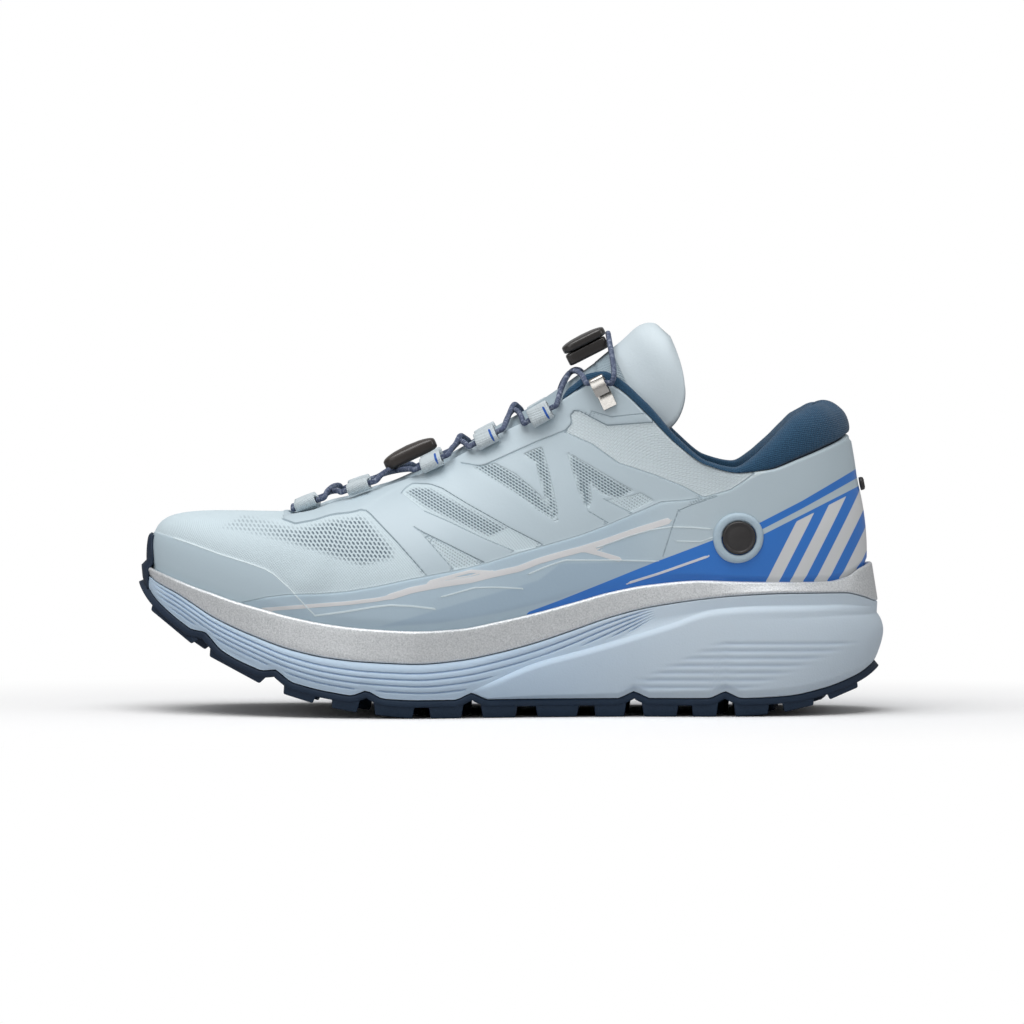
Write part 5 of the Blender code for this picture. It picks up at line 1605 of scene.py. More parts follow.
def tongueCloth():
    made, tree, shader = newMaterial("tongueFilm", 0.55, specular=0.4)
    s, t = field(tree, "clothS"), field(tree, "clothT")
    broad = grain(tree, 45, 2)
    fine = grain(tree, 1100, 2)
    bare = edgeOf(tree, field(tree, "free"), 1.2)
    cloth = weave(tree, s, t, 1.25)
    colour = tint(tree, broad, tongueLook["filmShade"], tongueLook["film"])
    threads = timesPlus(tree, cloth, 0.5, 0.5)
    meshed = tint(tree, threads, tongueLook["meshShade"], tongueLook["mesh"])
    colour = tint(tree, bare, meshed, colour)
    paint(tree, shader, colour)
    height = times(tree, rest(tree, bare), times(tree, cloth, 0.12))
    height = timesPlus(tree, bare, 0.15, height)
    relief(tree, shader, timesPlus(tree, fine, 0.05, height))
    return made


def tongueFace():
    # the outer face from the foot up to the free top
    look = tongueLook
    rows = [toeRow("front"), toeRow("back")]
    rows += [tongueRow(blend(look["first"], look["last"], k / look["rows"]))
             for k in range(look["rows"] + 1)]
    low, high = tongueRidge[1][0], tongueRidge[-1][0]
    rows += [freeTongueRow(blend(low, high, k / look["freeRows"]))
             for k in range(look["freeRows"] + 1)]
    wide = [smoothPath(row, look["steps"]) for row in rows]
    columns = [smoothPath([row[c] for row in wide], 3) for c in range(len(wide[0]))]
    outer = np.array([[tuple(p) for p in line] for line in columns]).transpose(1, 0, 2)
    free = easeAll(0.6, 0.72, np.arange(len(outer)) / len(outer))[:, None, None]
    for _ in range(look["easing"]):
        # the free top is eased, where the rows' ends would show as corners
        eased = outer.copy()
        eased[1:-1] = (outer[:-2] + outer[1:-1] * 2 + outer[2:]) / 4
        outer = outer * (1 - free) + eased * free
    return outer


def buildTongue():
    look = tongueLook
    outer = tongueFace()
    rowCount, count = outer.shape[:2]
    over = np.gradient(outer, axis=1)
    up = np.gradient(outer, axis=0)
    normal = np.cross(up, over)
    normal /= np.maximum(np.linalg.norm(normal, axis=2, keepdims=True), 1e-12)
    r = np.arange(rowCount)[:, None]
    c = np.arange(count)[None, :]
    fromSide = np.minimum(c, count - 1 - c) / (2 * look["steps"])
    fromEdge = np.minimum(fromSide, (rowCount - 1 - r) / 9.0)
    puff = easeAll(-0.25, 1.0, fromEdge)
    # the free top is softly padded
    freeShare = easeAll(0.62, 0.8, r / rowCount)
    swell = look["swell"] * freeShare * np.sin(math.pi * np.clip(fromEdge, 0, 1) / 2)
    face = outer + normal * (swell * np.sin(math.pi * c / (count - 1)) ** 0.5)[:, :, None]
    inner = outer - normal * (look["thick"] * np.maximum(puff, 0.3))[:, :, None]
    halfway = (face + inner) / 2
    points = np.concatenate([face.reshape(-1, 3), inner.reshape(-1, 3)])
    back = rowCount * count
    faces = []
    for row in range(rowCount - 1):
        for col in range(count - 1):
            a = row * count + col
            faces.append((a, a + 1, a + count + 1, a + count))
            faces.append((back + a + count, back + a + count + 1, back + a + 1, back + a))
    border = list(range(count))
    border += [row * count + count - 1 for row in range(1, rowCount)]
    border += [(rowCount - 1) * count + col for col in range(count - 2, -1, -1)]
    border += [row * count for row in range(rowCount - 2, 0, -1)]
    middle = {}
    extra = []
    for a in border:
        # a rounded edge between both faces
        row, col = divmod(a, count)
        inward = face[min(max(row, 1), rowCount - 2), min(max(col, 1), count - 2)]
        out = Vector(halfway[row, col] - inward).normalized() * 0.0009
        middle[a] = 2 * back + len(extra)
        extra.append(tuple(Vector(halfway[row, col]) + out))
    for k, a in enumerate(border):
        b = border[(k + 1) % len(border)]
        faces.append((b, a, middle[a], middle[b]))
        faces.append((middle[b], middle[a], back + a, back + b))
    points = np.concatenate([points, np.array(extra)])
    shown = addMesh("tongue_pad", points, faces, [tongueCloth()])
    wideS = np.cumsum(np.linalg.norm(over, axis=2), axis=1) * 1000
    wideT = np.cumsum(np.linalg.norm(up, axis=2), axis=0) * 1000
    line = np.broadcast_to((r - 0.6 * rowCount) * 2.0, (rowCount, count)).astype(float)
    edgeRows = [divmod(a, count) for a in border]
    for name, values in (("clothS", wideS), ("clothT", wideT), ("free", line)):
        ends = np.array([values[row, col] for row, col in edgeRows])
        setField(shown.data, name, np.concatenate([values.ravel(), values.ravel(), ends]))
    faceOut(shown)
    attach(shown, "root")
    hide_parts("tongue")
    print("tongue made:", rowCount, "rows")


buildCollar()
buildTongue()

# lace, webbing loops, hooks, cord lock and keeper

laceLook = {
    "thick": 0.0026,
    "shown": 0.82,  # share of that thickness where the lace is drawn tight
    "hump": 0.8,  # rise of the upper strand where two cross, in thicknesses
    "sides": 12,
    "braid": (0.085, 0.11, 0.185),
    "fleck": (0.38, 0.43, 0.54),
    "loopLong": 0.0088,
    "loopWide": 0.0078,
    "loopHigh": 0.0044,
    "loopDrop": 0.14,  # down the eyestay, in loop widths
    "web": 0.0008,
    "hookWide": 0.0056,
    "hookLong": 0.0125,
    "hookSheet": 0.0012,
    "hookThroat": 0.0032,
    "hookStation": 0.598,
    "hookDrop": 0.93,
    "hookLean": 26,
    "hookShift": 0.0016,
    "topBar": 0.612,
    "webbing": (0.68, 0.76, 0.8),
    "mark": (0.03, 0.12, 0.48),
    "steel": (0.66, 0.64, 0.61),
    "steelShade": (0.5, 0.48, 0.45),
}
loopStations = (0.228, 0.345, 0.437, 0.49, 0.542)
loopLifts = (0.0014, 0.0005, 0.0006, 0.0003, 0.0006)  # clear of the curve under each loop


def edgeFrame(q, v=1.0):
    # directions along the edge, up the upper and out of it
    along = (upperPoint(q + 0.006, v) - upperPoint(q - 0.006, v)).normalized()
    out = upperNormal(q, v)
    return along, out.cross(along).normalized(), out


def loopCentre(side, station):
    q = station if side == lateral else 2 - station
    along, up, out = edgeFrame(q)
    if side == medial:
        along = -along
    if up.z < 0:
        up = -up
    lift = laceLook["loopHigh"] / 2 + shoe["gap"] + shoe["overlayStep"]
    lift += loopLifts[loopStations.index(station)]
    centre = edgePoint(q) + out * lift - up * laceLook["loopWide"] * laceLook["loopDrop"]
    return centre, along, up, out


def stadium(width, height, corners=8):
    # outline of a flattened tube
    radius = height / 2
    flat = width / 2 - radius
    outline = []
    for end, start in ((1, -math.pi / 2), (-1, math.pi / 2)):
        for k in range(corners + 1):
            angle = start + math.pi * k / corners
            outline.append((end * flat + radius * math.cos(angle), radius * math.sin(angle)))
        for k in range(1, 4):
            outline.append((end * flat * (1 - 2 * k / 4), end * radius))
    return outline


def webbingFinish():
    made, tree, shader = newMaterial("paleWebbing", 0.8, specular=0.3)
    s, t = field(tree, "alongLoop"), field(tree, "aroundLoop")
    cloth = weave(tree, s, t, 0.9)
    fine = grain(tree, 1800, 2)
    share = timesPlus(tree, cloth, 0.5, 0.5)
    pale = tint(tree, share, shaded(laceLook["webbing"], 0.86), laceLook["webbing"])
    mark = edgeOf(tree, field(tree, "mark"), 0.12)
    colour = tint(tree, mark, pale, laceLook["mark"])
    paint(tree, shader, colour)
    rough = times(tree, fine, 0.06)
    relief(tree, shader, timesPlus(tree, cloth, 0.12, rough))
    return made


loopSections = (  # place along the loop, and depth inwards in thicknesses of the webbing
    (-0.5, 0.6), (-0.485, 0.22), (-0.46, 0.0), (-0.3, 0.0), (-0.12, 0.0), (0.08, 0.0), (0.28, 0.0),
    (0.46, 0.0), (0.485, 0.22), (0.5, 0.6), (0.49, 1.0), (0.3, 1.0), (0.0, 1.0), (-0.3, 1.0),
    (-0.49, 1.0),
)


def buildLoops():
    finish = webbingFinish()
    long, wide, high, web = (laceLook[k] for k in ("loopLong", "loopWide", "loopHigh", "web"))
    outside = np.array(stadium(wide, high)) * 1000
    count = len(outside)
    stepRound = np.hypot(*(outside[1:] - outside[:-1]).T)
    runRound = np.concatenate([[0.0], np.cumsum(stepRound)])
    alongs = np.array([place * long * 1000 for place, _ in loopSections])
    # a short printed bar across the outer loops near the ankle
    bar = 0.55 - np.abs(alongs[:, None] - 2.6)
    bar = np.minimum(bar, 2.6 - np.abs(outside[None, :, 0] + 1.4))
    bar = np.minimum(bar, outside[None, :, 1] + 0.3)
    for side, word in ((lateral, "lateral"), (medial, "medial")):
        for index, station in enumerate(loopStations):
            centre, along, up, out = loopCentre(side, station)
            points = []
            for place, depth in loopSections:
                inset = depth * web
                sag = 0.00018 * math.cos(math.pi * place) if depth == 0.0 else 0.0
                base = centre + along * place * long
                points += [base + up * a + out * (b + (sag if b > 0 else 0.0))
                           for a, b in stadium(wide - 2 * inset, high - 2 * inset)]
            faces = gridFaces(len(loopSections), count, True, True)
            shown = addMesh(f"webbing_{word}_{index + 1}", points, faces, [finish])
            marked = index >= 2 and side == lateral
            setField(shown.data, "alongLoop", np.repeat(alongs, count))
            setField(shown.data, "aroundLoop", np.tile(runRound, len(loopSections)))
            setField(shown.data, "mark", bar if marked else np.full(bar.shape, -9.0))
            faceOut(shown)
            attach(shown, "root")
            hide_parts(f"lace_loop_{word}_{index + 1}")
    print("loops made:", 2 * len(loopStations))


def mouth(side, index, end):
    # where the lace enters or leaves a loop, and which way
    centre, along = loopCentre(side, loopStations[index])[:2]
    clear = laceLook["loopLong"] / 2 + 0.0008
    return centre + along * end * clear, along * end


def hookSeat(side):
    q = laceLook["hookStation"] if side == lateral else 2 - laceLook["hookStation"]
    along, up, out = edgeFrame(q, laceLook["hookDrop"])
    if side == medial:
        along = -along
    if up.z < 0:
        up = -up
    foot = upperOffset(q, laceLook["hookDrop"], shoe["overlayStep"] + 2 * shoe["gap"])
    return foot, up, out, along


def hookMouth(side, end):
    # where the lace enters or leaves a hook, and which way
    foot, up, out, along = hookSeat(side)
    inside = laceLook["hookLong"] * 0.55 - laceLook["thick"] / 2 - 0.0006
    seat = foot + up * inside + out * (laceLook["hookSheet"] + laceLook["hookThroat"] / 2)
    return seat + along * end * (laceLook["hookWide"] / 2 + 0.0006), along * end


def aroundAt(x):
    # the place round the throat that lies at x
    low, high = 0.12, 0.6
    for _ in range(24):
        middle = (low + high) / 2
        if xAt(column(openingEdge, "share", middle)) < x:
            low = middle
        else:
            high = middle
    return low


fasteners = {
    "lock": {"share": 0.598, "height": 0.9417 * shoe["tongueHeight"], "tilt": 27,
             "size": (0.0172, 0.014, 0.0078)},
    "keeper": {"share": 0.364, "height": 0.7715 * shoe["instepHeight"], "tilt": 25,
               "size": (0.019, 0.0115, 0.005)},
}


def fastenerSeat(name):
    row = fasteners[name]
    y = column(openingEdge, "centre", 0.5) * shoe["ballWidth"]
    turn = Matrix.Rotation(-math.radians(row["tilt"]), 4, "Y")
    return Matrix.Translation((xAt(row["share"]), y, row["height"])) @ turn


def strandBetween(start, leaving, end, arriving, clearance, over):
    # from one mouth across the tongue to another; over lifts the upper strand
    first = start + leaving * 0.0022
    last = end + arriving * 0.0022
    path = [start, first]
    sides = (0.0, 1.0) if start.y < end.y else (1.0, 0.0)
    for share in (0.12, 0.31, 0.5, 0.69, 0.88):
        x = blend(first.x, last.x, share)
        on = tongueAcross(aroundAt(x), blend(*sides, share))
        hump = over * math.exp(-((share - 0.5) / 0.2) ** 2)
        z = on.z + laceLook["thick"] / 2 + clearance + hump
        bow = (0.001 + over * 0.8) * math.sin(math.pi * share) ** 0.5
        bowed = blend(first.z, last.z, share) + bow
        path.append(Vector((x, blend(first.y, last.y, share), max(z, bowed))))
    return path + [last, end]


def lacePath():
    # once round: hook, loops down one way to the toe, back up the other way, hook, top
    hump = laceLook["thick"] * laceLook["hump"]
    last = len(loopStations) - 1
    path = []

    def through(side, index, towards):
        a, b = mouth(side, index, -towards)[0], mouth(side, index, towards)[0]
        return [a.lerp(b, 0.35), a.lerp(b, 0.65)]

    def crossing(index, side, over):
        # strand from a loop on this side up to the next one on the other side
        start, leaving = mouth(side, index, 1)
        if index < last:
            end, arriving = mouth(-side, index + 1, -1)
        else:
            end, arriving = hookMouth(-side, -1)
        return strandBetween(start, leaving, end, arriving, 0.0007, over)

    def hookInside(side):
        a, b = hookMouth(side, -1)[0], hookMouth(side, 1)[0]
        return [a.lerp(b, 0.3), a.lerp(b, 0.7)]

    side = medial
    for index in range(last, -1, -1):
        # the strands take turns to lie on top
        path += list(reversed(crossing(index, side, hump if index % 2 else 0.0)))
        path += through(side, index, -1)
        side = -side
    side = -side
    start, leaving = mouth(side, 0, -1)
    end, arriving = mouth(-side, 0, -1)
    path += strandBetween(start, leaving * 0.4, end, arriving * 0.4, 0.0016, 0.0)
    side = -side
    for index in range(last + 1):
        path += through(side, index, 1)
        onTop = index % 2 == 0 and index < last
        path += crossing(index, side, hump if onTop else 0.0)
        side = -side
    path += hookInside(side)
    start, leaving = hookMouth(side, 1)
    end, arriving = hookMouth(-side, 1)
    reach = fasteners["lock"]["size"][0] / 2 + laceLook["thick"] * 0.62
    middle = fastenerSeat("lock") @ Vector((reach, 0, 0))
    rise = column(collarSizes, "rise", laceLook["topBar"]) * collarLook["high"]
    stations = ((side, laceLook["topBar"]), (-side, laceLook["topBar"]))
    path += [start, start + leaving * 0.0012]
    for place, station in stations:
        q = station if place == lateral else 2 - station
        rim = edgePoint(q) + Vector((0, place * 0.001, rise + laceLook["thick"]))
        beside = middle + Vector((0, place * 0.004, -0.0006))
        path += [rim, beside] if place == side else [beside, rim]
    path += [end + arriving * 0.0012, end]
    path += list(reversed(hookInside(-side)))
    return path


def laceFinish():
    made, tree, shader = newMaterial("slateLace", 0.78, specular=0.3)
    s, t = field(tree, "alongLace"), field(tree, "aroundLace")
    first = number(tree, "SINE", number(tree, "ADD", times(tree, s, 3.1), t))
    second = number(tree, "SINE", number(tree, "SUBTRACT", times(tree, s, 3.1), t))
    braid = times(tree, first, second)
    fleck = timesPlus(tree, grain(tree, 700, 2), 3.0, -1.45, clamp=True)
    share = timesPlus(tree, braid, 0.1, fleck, clamp=True)
    colour = tint(tree, share, laceLook["braid"], laceLook["fleck"])
    paint(tree, shader, colour)
    relief(tree, shader, braid, 0.00022)
    return made


def sweep(path, radius, sides):
    # rings of a tube along a closed path, turned without twist
    count = len(path)
    runs = [(path[(k + 1) % count] - path[k - 1]).normalized() for k in range(count)]
    square = runs[0].orthogonal().normalized()
    rings = []
    for point, run in zip(path, runs):
        square = (square - run * square.dot(run)).normalized()
        other = run.cross(square)
        rings.append([point + (square * math.cos(a) + other * math.sin(a)) * radius
                      for a in (2 * math.pi * i / sides for i in range(sides))])
    return rings


def buildLace():
    corners = lacePath()
    apart = [corners[0]]
    for p in corners[1:]:
        if (p - apart[-1]).length > 0.0006:
            apart.append(p)
    path = roundedLoop(apart, 6)
    for _ in range(3):
        path = [(path[k - 1] + path[k] * 2 + path[(k + 1) % len(path)]) / 4
                for k in range(len(path))]
    sides = laceLook["sides"]
    rings = sweep(path, laceLook["thick"] / 2 * laceLook["shown"], sides)
    points = [p for ring in rings for p in ring]
    shown = addMesh("lace", points, gridFaces(len(rings), sides, True, True), [laceFinish()])
    run = np.cumsum([0.0] + [(b - a).length for a, b in zip(path[:-1], path[1:])]) * 1000
    setField(shown.data, "alongLace", np.repeat(run, sides))
    setField(shown.data, "aroundLace", np.tile(np.arange(sides) * 2 * math.pi / sides, len(rings)))
    faceOut(shown)
    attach(shown, "root")
    names = [f"lace_crossing_{k + 1}" for k in range(len(loopStations))]
    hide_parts("lace_front_bar", *names, "lace_top_bar")
    print("lace made:", round(float(run[-1])), "mm long")


def plasticFinish(name, colour, roughness):
    made, tree, shader = newMaterial(name, roughness, coat=0.35)
    shader.inputs["Coat Roughness"].default_value = 0.12
    cloud = grain(tree, 160, 2)
    tree.links.new(tint(tree, cloud, shaded(colour, 0.8), colour), shader.inputs["Base Color"])
    relief(tree, shader, grain(tree, 1400, 2), 0.00005)
    return made


def domed(name, seat, size, power, dome, finish, across=40, high=22):
    # a soft rounded block: flat sides with round corners, and a domed top
    points = []
    for r in range(high + 1):
        pitch = -math.pi / 2 + math.pi * r / high
        up = math.copysign(abs(math.sin(pitch)) ** (2 / power), math.sin(pitch))
        wide = abs(math.cos(pitch)) ** (2 / power)
        for c in range(across):
            turn = 2 * math.pi * c / across
            x = math.copysign(abs(math.cos(turn)) ** (2 / power), math.cos(turn)) * wide
            y = math.copysign(abs(math.sin(turn)) ** (2 / power), math.sin(turn)) * wide
            z = up + (dome * (1 - x * x) * (1 - y * y) if up > 0 else 0.0)
            points.append(seat @ Vector((x * size[0] / 2, y * size[1] / 2, z * size[2] / 2)))
    shown = addMesh(name, points, gridFaces(high + 1, across), [finish])
    return faceOut(shown, weld=True)


def buildFasteners():
    gloss = plasticFinish("blackGloss", (0.03, 0.026, 0.024), 0.25)
    brown = plasticFinish("brownBlack", (0.04, 0.031, 0.026), 0.34)
    # two halves that meet just above the lock's middle
    seat = fastenerSeat("lock")
    long, wide, high = (size * 1.06 for size in fasteners["lock"]["size"])
    low = seat @ Matrix.Translation((0, 0, -high * 0.21))
    top = seat @ Matrix.Translation((0.0006, 0, high * 0.3))
    base = domed("lock_base", low, (long * 0.94, wide * 0.92, high * 0.58), 9.0, 0.0, gloss)
    cover = domed("lock_cover", top, (long, wide, high * 0.44), 5.0, 0.42, gloss)
    for shown, name in ((base, "cord_lock_body"), (cover, "cord_lock_cover")):
        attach(shown, "root")
        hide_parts(name)
    seat = fastenerSeat("keeper")
    long, wide, high = fasteners["keeper"]["size"]
    keeper = domed("keeper_shell", seat, (long * 1.16, wide, high), 5.0, 0.5, brown)
    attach(keeper, "root")
    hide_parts("lace_keeper")
    print("cord lock and keeper made")


def steelFinish():
    made, tree, shader = newMaterial("brushedSteel", 0.24, metallic=1.0)
    fine = grain(tree, 500, 3)
    colour = tint(tree, fine, laceLook["steelShade"], laceLook["steel"])
    paint(tree, shader, colour)
    relief(tree, shader, fine, 0.00004)
    return made


def hookProfile():
    # bent sheet from the side: a foot, a half turn, and a lip folded back over the lace
    look = laceLook
    t = look["hookSheet"] * 0.85
    long = look["hookLong"]
    low, high = -long * 0.45, long * 0.52
    middle = t / 2 + look["hookThroat"] / 2 + t / 2
    line = [(low, t * 0.5), (low * 0.5, t * 0.5), (0.0, t * 0.5), (high - t, t * 0.5)]
    turns = 7
    for k in range(turns + 1):
        angle = -math.pi / 2 + math.pi * k / turns
        line.append((high - t + middle * 0.55 * math.cos(angle), t * 0.5 + middle * (1 + math.sin(angle))))
    line += [(high - long * 0.3, t * 0.5 + 2 * middle), (high - long * 0.46, 2 * middle),
             (high - long * 0.54, 2 * middle - t * 0.9)]
    outer, inner = [], []
    for k, (a, b) in enumerate(line):
        before, after = line[max(k - 1, 0)], line[min(k + 1, len(line) - 1)]
        run = Vector((after[0] - before[0], after[1] - before[1])).normalized()
        outer.append((a - run.y * t / 2, b + run.x * t / 2))
        inner.append((a + run.y * t / 2, b - run.x * t / 2))
    return outer + inner[::-1]


def buildHooks():
    finish = steelFinish()
    profile = hookProfile()
    count = len(profile)
    lean = math.radians(laceLook["hookLean"])
    for side, word in ((lateral, "lateral"), (medial, "medial")):
        foot, straight, out, level = hookSeat(side)
        up = straight * math.cos(lean) - level * math.sin(lean)
        along = level * math.cos(lean) + straight * math.sin(lean)
        foot = foot + along * laceLook["hookShift"]
        points = [foot + up * a + out * b + along * share * laceLook["hookWide"]
                  for share in (-0.5, 0.5) for a, b in profile]
        faces = gridFaces(2, count)
        for first in (0, count):
            for k in range(count // 2 - 1):
                last = first + count - 1 - k
                faces.append((first + k, first + k + 1, last - 1, last))
        shown = addMesh(f"steel_hook_{word}", points, faces, [finish])
        faceOut(shown)
        bevel = shown.modifiers.new("softEdges", "BEVEL")
        bevel.width = 0.00025
        bevel.segments = 2
        bevel.limit_method = "ANGLE"
        shown.data.set_sharp_from_angle(angle=math.radians(40))
        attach(shown, "root")
        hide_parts(f"lace_hook_{word}")
    print("hooks made")


# fittings

fittingLook = {
    "snapSeat": (0.722, 0.4),  # round the shoe, and up the upper
    "studSeat": (1.0, 0.655),
    "snap": 0.0064,
    "snapHigh": 0.0018,
    "ring": 0.003,
    "stud": 0.0026,
    "studHigh": 0.0018,
    "guard": 0.0016,
    "guardReach": 0.05,
    "ringColour": (0.5, 0.62, 0.7),
    "ringShade": (0.42, 0.545, 0.64),
    "insole": (0.42, 0.48, 0.54),
    "insoleShade": (0.3, 0.36, 0.42),
}


def onUpper(seat, along, up, out):
    # a point near a place on the upper, in metres along, up and out from it
    q, v = seat
    step = 0.004
    run = (upperPoint(q + step, v) - upperPoint(q - step, v)) / (2 * step)
    climb = (upperPoint(q, v + step) - upperPoint(q, v - step)) / (2 * step)
    ahead = run.normalized()
    square = (climb - ahead * climb.dot(ahead)).normalized()
    moveV = up / climb.dot(square)
    moveQ = (along - climb.dot(ahead) * moveV) / run.length
    return upperOffset(q + moveQ, v + moveV, out)


def turnedPart(name, seat, outline, finish, sides, node_):
    # a round part that follows the upper's curve
    rings = []
    for radius, height in outline:
        rings.append([onUpper(seat, radius * math.cos(a), radius * math.sin(a), height)
                      for a in (2 * math.pi * k / sides for k in range(sides))])
    points = [p for ring in rings for p in ring]
    shown = addMesh(name, points, gridFaces(len(rings), sides), [finish])
    faceOut(shown, weld=True)
    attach(shown, "root")
    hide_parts(node_)


def ringFinish():
    made, tree, shader = newMaterial("snapRing", 0.5, specular=0.4)
    fine = grain(tree, 800, 2)
    colour = tint(tree, fine, fittingLook["ringShade"], fittingLook["ringColour"])
    paint(tree, shader, colour)
    relief(tree, shader, fine, 0.00006)
    return made


def buildFittings():
    floor = shoe["overlayStep"] + shoe["gap"]
    radius, high = fittingLook["snap"], fittingLook["snapHigh"]
    black = plasticFinish("snapBlack", (0.03, 0.027, 0.027), 0.5)
    shape = ((0.0, 0.0), (1.0, 0.0), (1.0, 0.35), (0.985, 0.6), (0.93, 0.8), (0.86, 0.82), (0.82, 0.6),
             (0.76, 0.55), (0.6, 0.72), (0.35, 0.86), (0.0, 0.92))
    disc = [(radius * out, floor + high * rise) for out, rise in shape]
    turnedPart("snap_disc", fittingLook["snapSeat"], disc, black, 56, "gaiter_snap")
    inner = radius + shoe["gap"]
    outer = inner + fittingLook["ring"]
    top = floor + high * 0.62
    ring = [(inner, floor), (outer, floor),
            (outer - 0.0002, floor + 0.0004), (outer - 0.0007, top - 0.0001),
            (outer - 0.0013, top + 0.0001), (inner + 0.0006, top + 0.0001), (inner + 0.0002, top - 0.0001),
            (inner, top - 0.0004), (inner, floor)]
    turnedPart("snap_ring", fittingLook["snapSeat"], ring, ringFinish(), 64,
               "gaiter_snap_ring")
    half, up = fittingLook["stud"], fittingLook["studHigh"]
    shape = ((0.0, 0.0), (1.0, 0.0), (1.0, 0.5), (0.9, 0.85), (0.6, 1.0), (0.0, 1.0))
    stud = [(half * out, floor + up * rise) for out, rise in shape]
    turnedPart("stud_cap", fittingLook["studSeat"], stud, black, 28, "heel_stud")


def buildToeGuard():
    # rubber glued over the toe, and down over the carrier's tip to the outsole
    across, reach = 64, fittingLook["guardReach"]
    lift = shoe["overlayStep"] + shoe["gap"]
    thick = fittingLook["guard"] * 0.62
    places = [-reach + 2 * reach * k / across for k in range(across + 1)]
    rows = (0.03, 0.06, 0.09, 0.12, 0.15, 0.175, 0.195, 0.21)
    lines = []
    for level in (1.0, 0.85, 0.6, 0.35, 0.12):
        line = []
        for q in places:
            near = 1 - 0.85 * ease(0.55, 1.0, abs(q) / reach)
            out = 0.0002 + thick * near
            high = linePoint(q, "rim", -out, rimLine)
            low = linePoint(q, "outsole", -out * 0.6, lambda s: outsoleLine(s) - 0.0006)
            line.append(high.lerp(low, level))
        lines.append(line)
    # then up the toe, where the edges thin out
    for r, v in enumerate(rows):
        taper = 1 - 0.42 * ease(0.03, 0.22, v)
        edge = 1 - 0.7 * ease(len(rows) - 2.5, len(rows) - 1, r)
        line = []
        for q in places:
            near = 1 - 0.85 * ease(0.55, 1.0, abs(q) / reach)
            line.append(upperOffset(q * taper, v, lift * 0.7 + thick * edge * near))
        lines.append(line)
    points = [p for line in lines for p in line]
    faces = gridFaces(len(lines), len(places), False)
    shown = addMesh("toe_guard_rubber", points, faces, [rubberFinish()])
    solid = shown.modifiers.new("thick", "SOLIDIFY")
    solid.thickness = 0.0008
    solid.offset = 0.0
    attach(shown, "root")
    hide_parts("toe_guard")
    print("snap, stud and toe guard made")


def insoleFinish():
    made, tree, shader = newMaterial("insoleCloth", 0.92, specular=0.2)
    fine = grain(tree, 1300, 2)
    colour = tint(tree, fine, fittingLook["insoleShade"], fittingLook["insole"])
    paint(tree, shader, colour)
    relief(tree, shader, fine, 0.0002)
    return made


buildLoops()
buildLace()
buildFasteners()
buildHooks()
buildFittings()
buildToeGuard()
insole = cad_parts["insole"]  # carried over from the model, with cloth on it
insole.data.materials.clear()
insole.data.materials.append(insoleFinish())

# floor, light and camera

studio = {
    "floorHalf": 6.0,
    "floor": (0.5, 0.5, 0.51),
    "floorSeen": (0.96, 0.96, 0.965),
    "world": 0.31,
    # name, place, aim, size and power of each lamp
    "lamps": (
        ("overhead", (-0.2, -0.28, 1.25), (0, 0, 0.05), (1.3, 1.1), 14.2),
        ("frontFill", (-0.7, -1.35, 0.55), (0, 0, 0.06), (0.5, 0.7), 1.9),
        ("heelSide", (1.15, -0.55, 0.75), (0.08, 0, 0.06), (0.5, 0.5), 1.5),
    ),
}


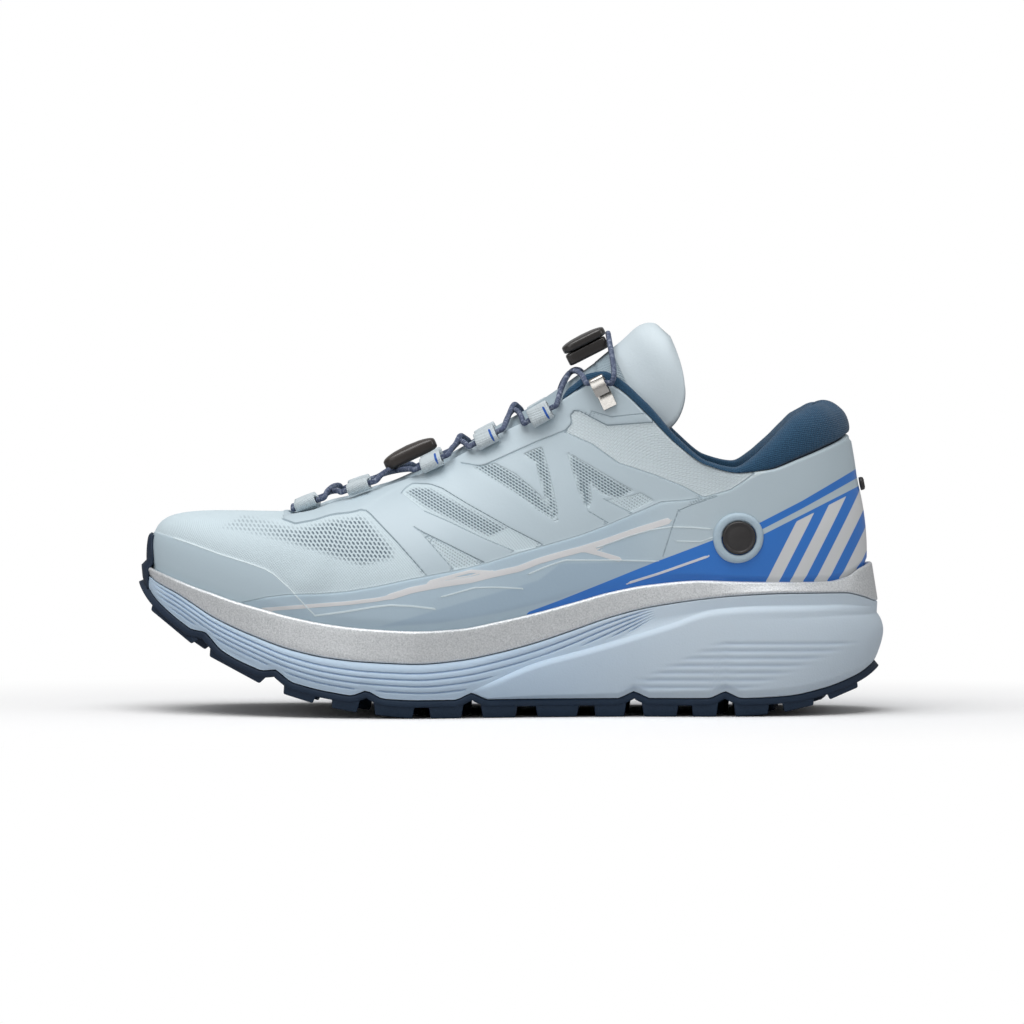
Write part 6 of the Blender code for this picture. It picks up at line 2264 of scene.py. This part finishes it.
def buildFloor():
    # pale near the shoe, and plain white further out
    made, tree, shader = newMaterial("paleFloor", 0.9, specular=0.1)
    seen = node(tree, "ShaderNodeLightPath").outputs["Is Camera Ray"]
    tree.links.new(tint(tree, seen, studio["floor"], studio["floorSeen"]), shader.inputs["Base Color"])
    place = node(tree, "ShaderNodeTexCoord").outputs["Object"]
    wide = node(tree, "ShaderNodeVectorMath", operation="MULTIPLY")
    tree.links.new(place, wide.inputs[0])
    wide.inputs[1].default_value = (1.0, 1.7, 1.0)
    far = node(tree, "ShaderNodeVectorMath", operation="LENGTH")
    tree.links.new(wide.outputs[0], far.inputs[0])
    share = edgeOf(tree, far.outputs["Value"], 0.13, 0.3)
    white = node(tree, "ShaderNodeEmission")
    white.inputs["Strength"].default_value = 1.0
    mixed = node(tree, "ShaderNodeMixShader")
    feed(tree, mixed.inputs[0], times(tree, share, seen))
    tree.links.new(shader.outputs[0], mixed.inputs[1])
    tree.links.new(white.outputs[0], mixed.inputs[2])
    tree.links.new(mixed.outputs[0], tree.nodes["Material Output"].inputs["Surface"])
    half = studio["floorHalf"]
    corners = [(-half, -half, 0), (half, -half, 0), (half, half, 0), (-half, half, 0)]
    floor = addMesh("floor", corners, [(0, 1, 2, 3)], [made], smooth=False)


def addLight(name, place, aim, size, power):
    made = bpy.data.lights.new(name, "AREA")
    made.shape = "RECTANGLE"
    made.size, made.size_y = size
    made.energy = power
    lamp = bpy.data.objects.new(name, made)
    lamp.location = place
    lamp.rotation_euler = (Vector(aim) - Vector(place)).to_track_quat("-Z", "Y").to_euler()
    bpy.context.scene.collection.objects.link(lamp)


def buildLight():
    world = bpy.data.worlds.new("studio")
    bpy.context.scene.world = world
    world.use_nodes = True
    tree = world.node_tree
    back = tree.nodes["Background"]
    back.inputs["Color"].default_value = (1, 1, 1, 1)
    seen = node(tree, "ShaderNodeLightPath").outputs["Is Camera Ray"]
    tree.links.new(mixNumber(tree, seen, studio["world"], 1.0), back.inputs["Strength"])
    for lamp in studio["lamps"]:
        addLight(*lamp)


def buildCamera():
    made = bpy.data.cameras.new("camera")
    made.lens = picture["lens"]
    made.sensor_width = 36.0
    made.clip_start, made.clip_end = 0.1, 50.0
    camera = bpy.data.objects.new("camera", made)
    tilt, away = picture["tilt"], picture["away"]
    aim = Vector((0, 0, spot(0, 512)[1] * 0.001))
    camera.location = aim + Vector((0, -away * math.cos(tilt), away * math.sin(tilt)))
    camera.rotation_euler = (aim - camera.location).to_track_quat("-Z", "Y").to_euler()
    bpy.context.scene.collection.objects.link(camera)
    bpy.context.scene.camera = camera
    bpy.context.scene.view_settings.view_transform = "Standard"
    print("floor, light and camera ready")


buildFloor()
buildLight()
buildCamera()
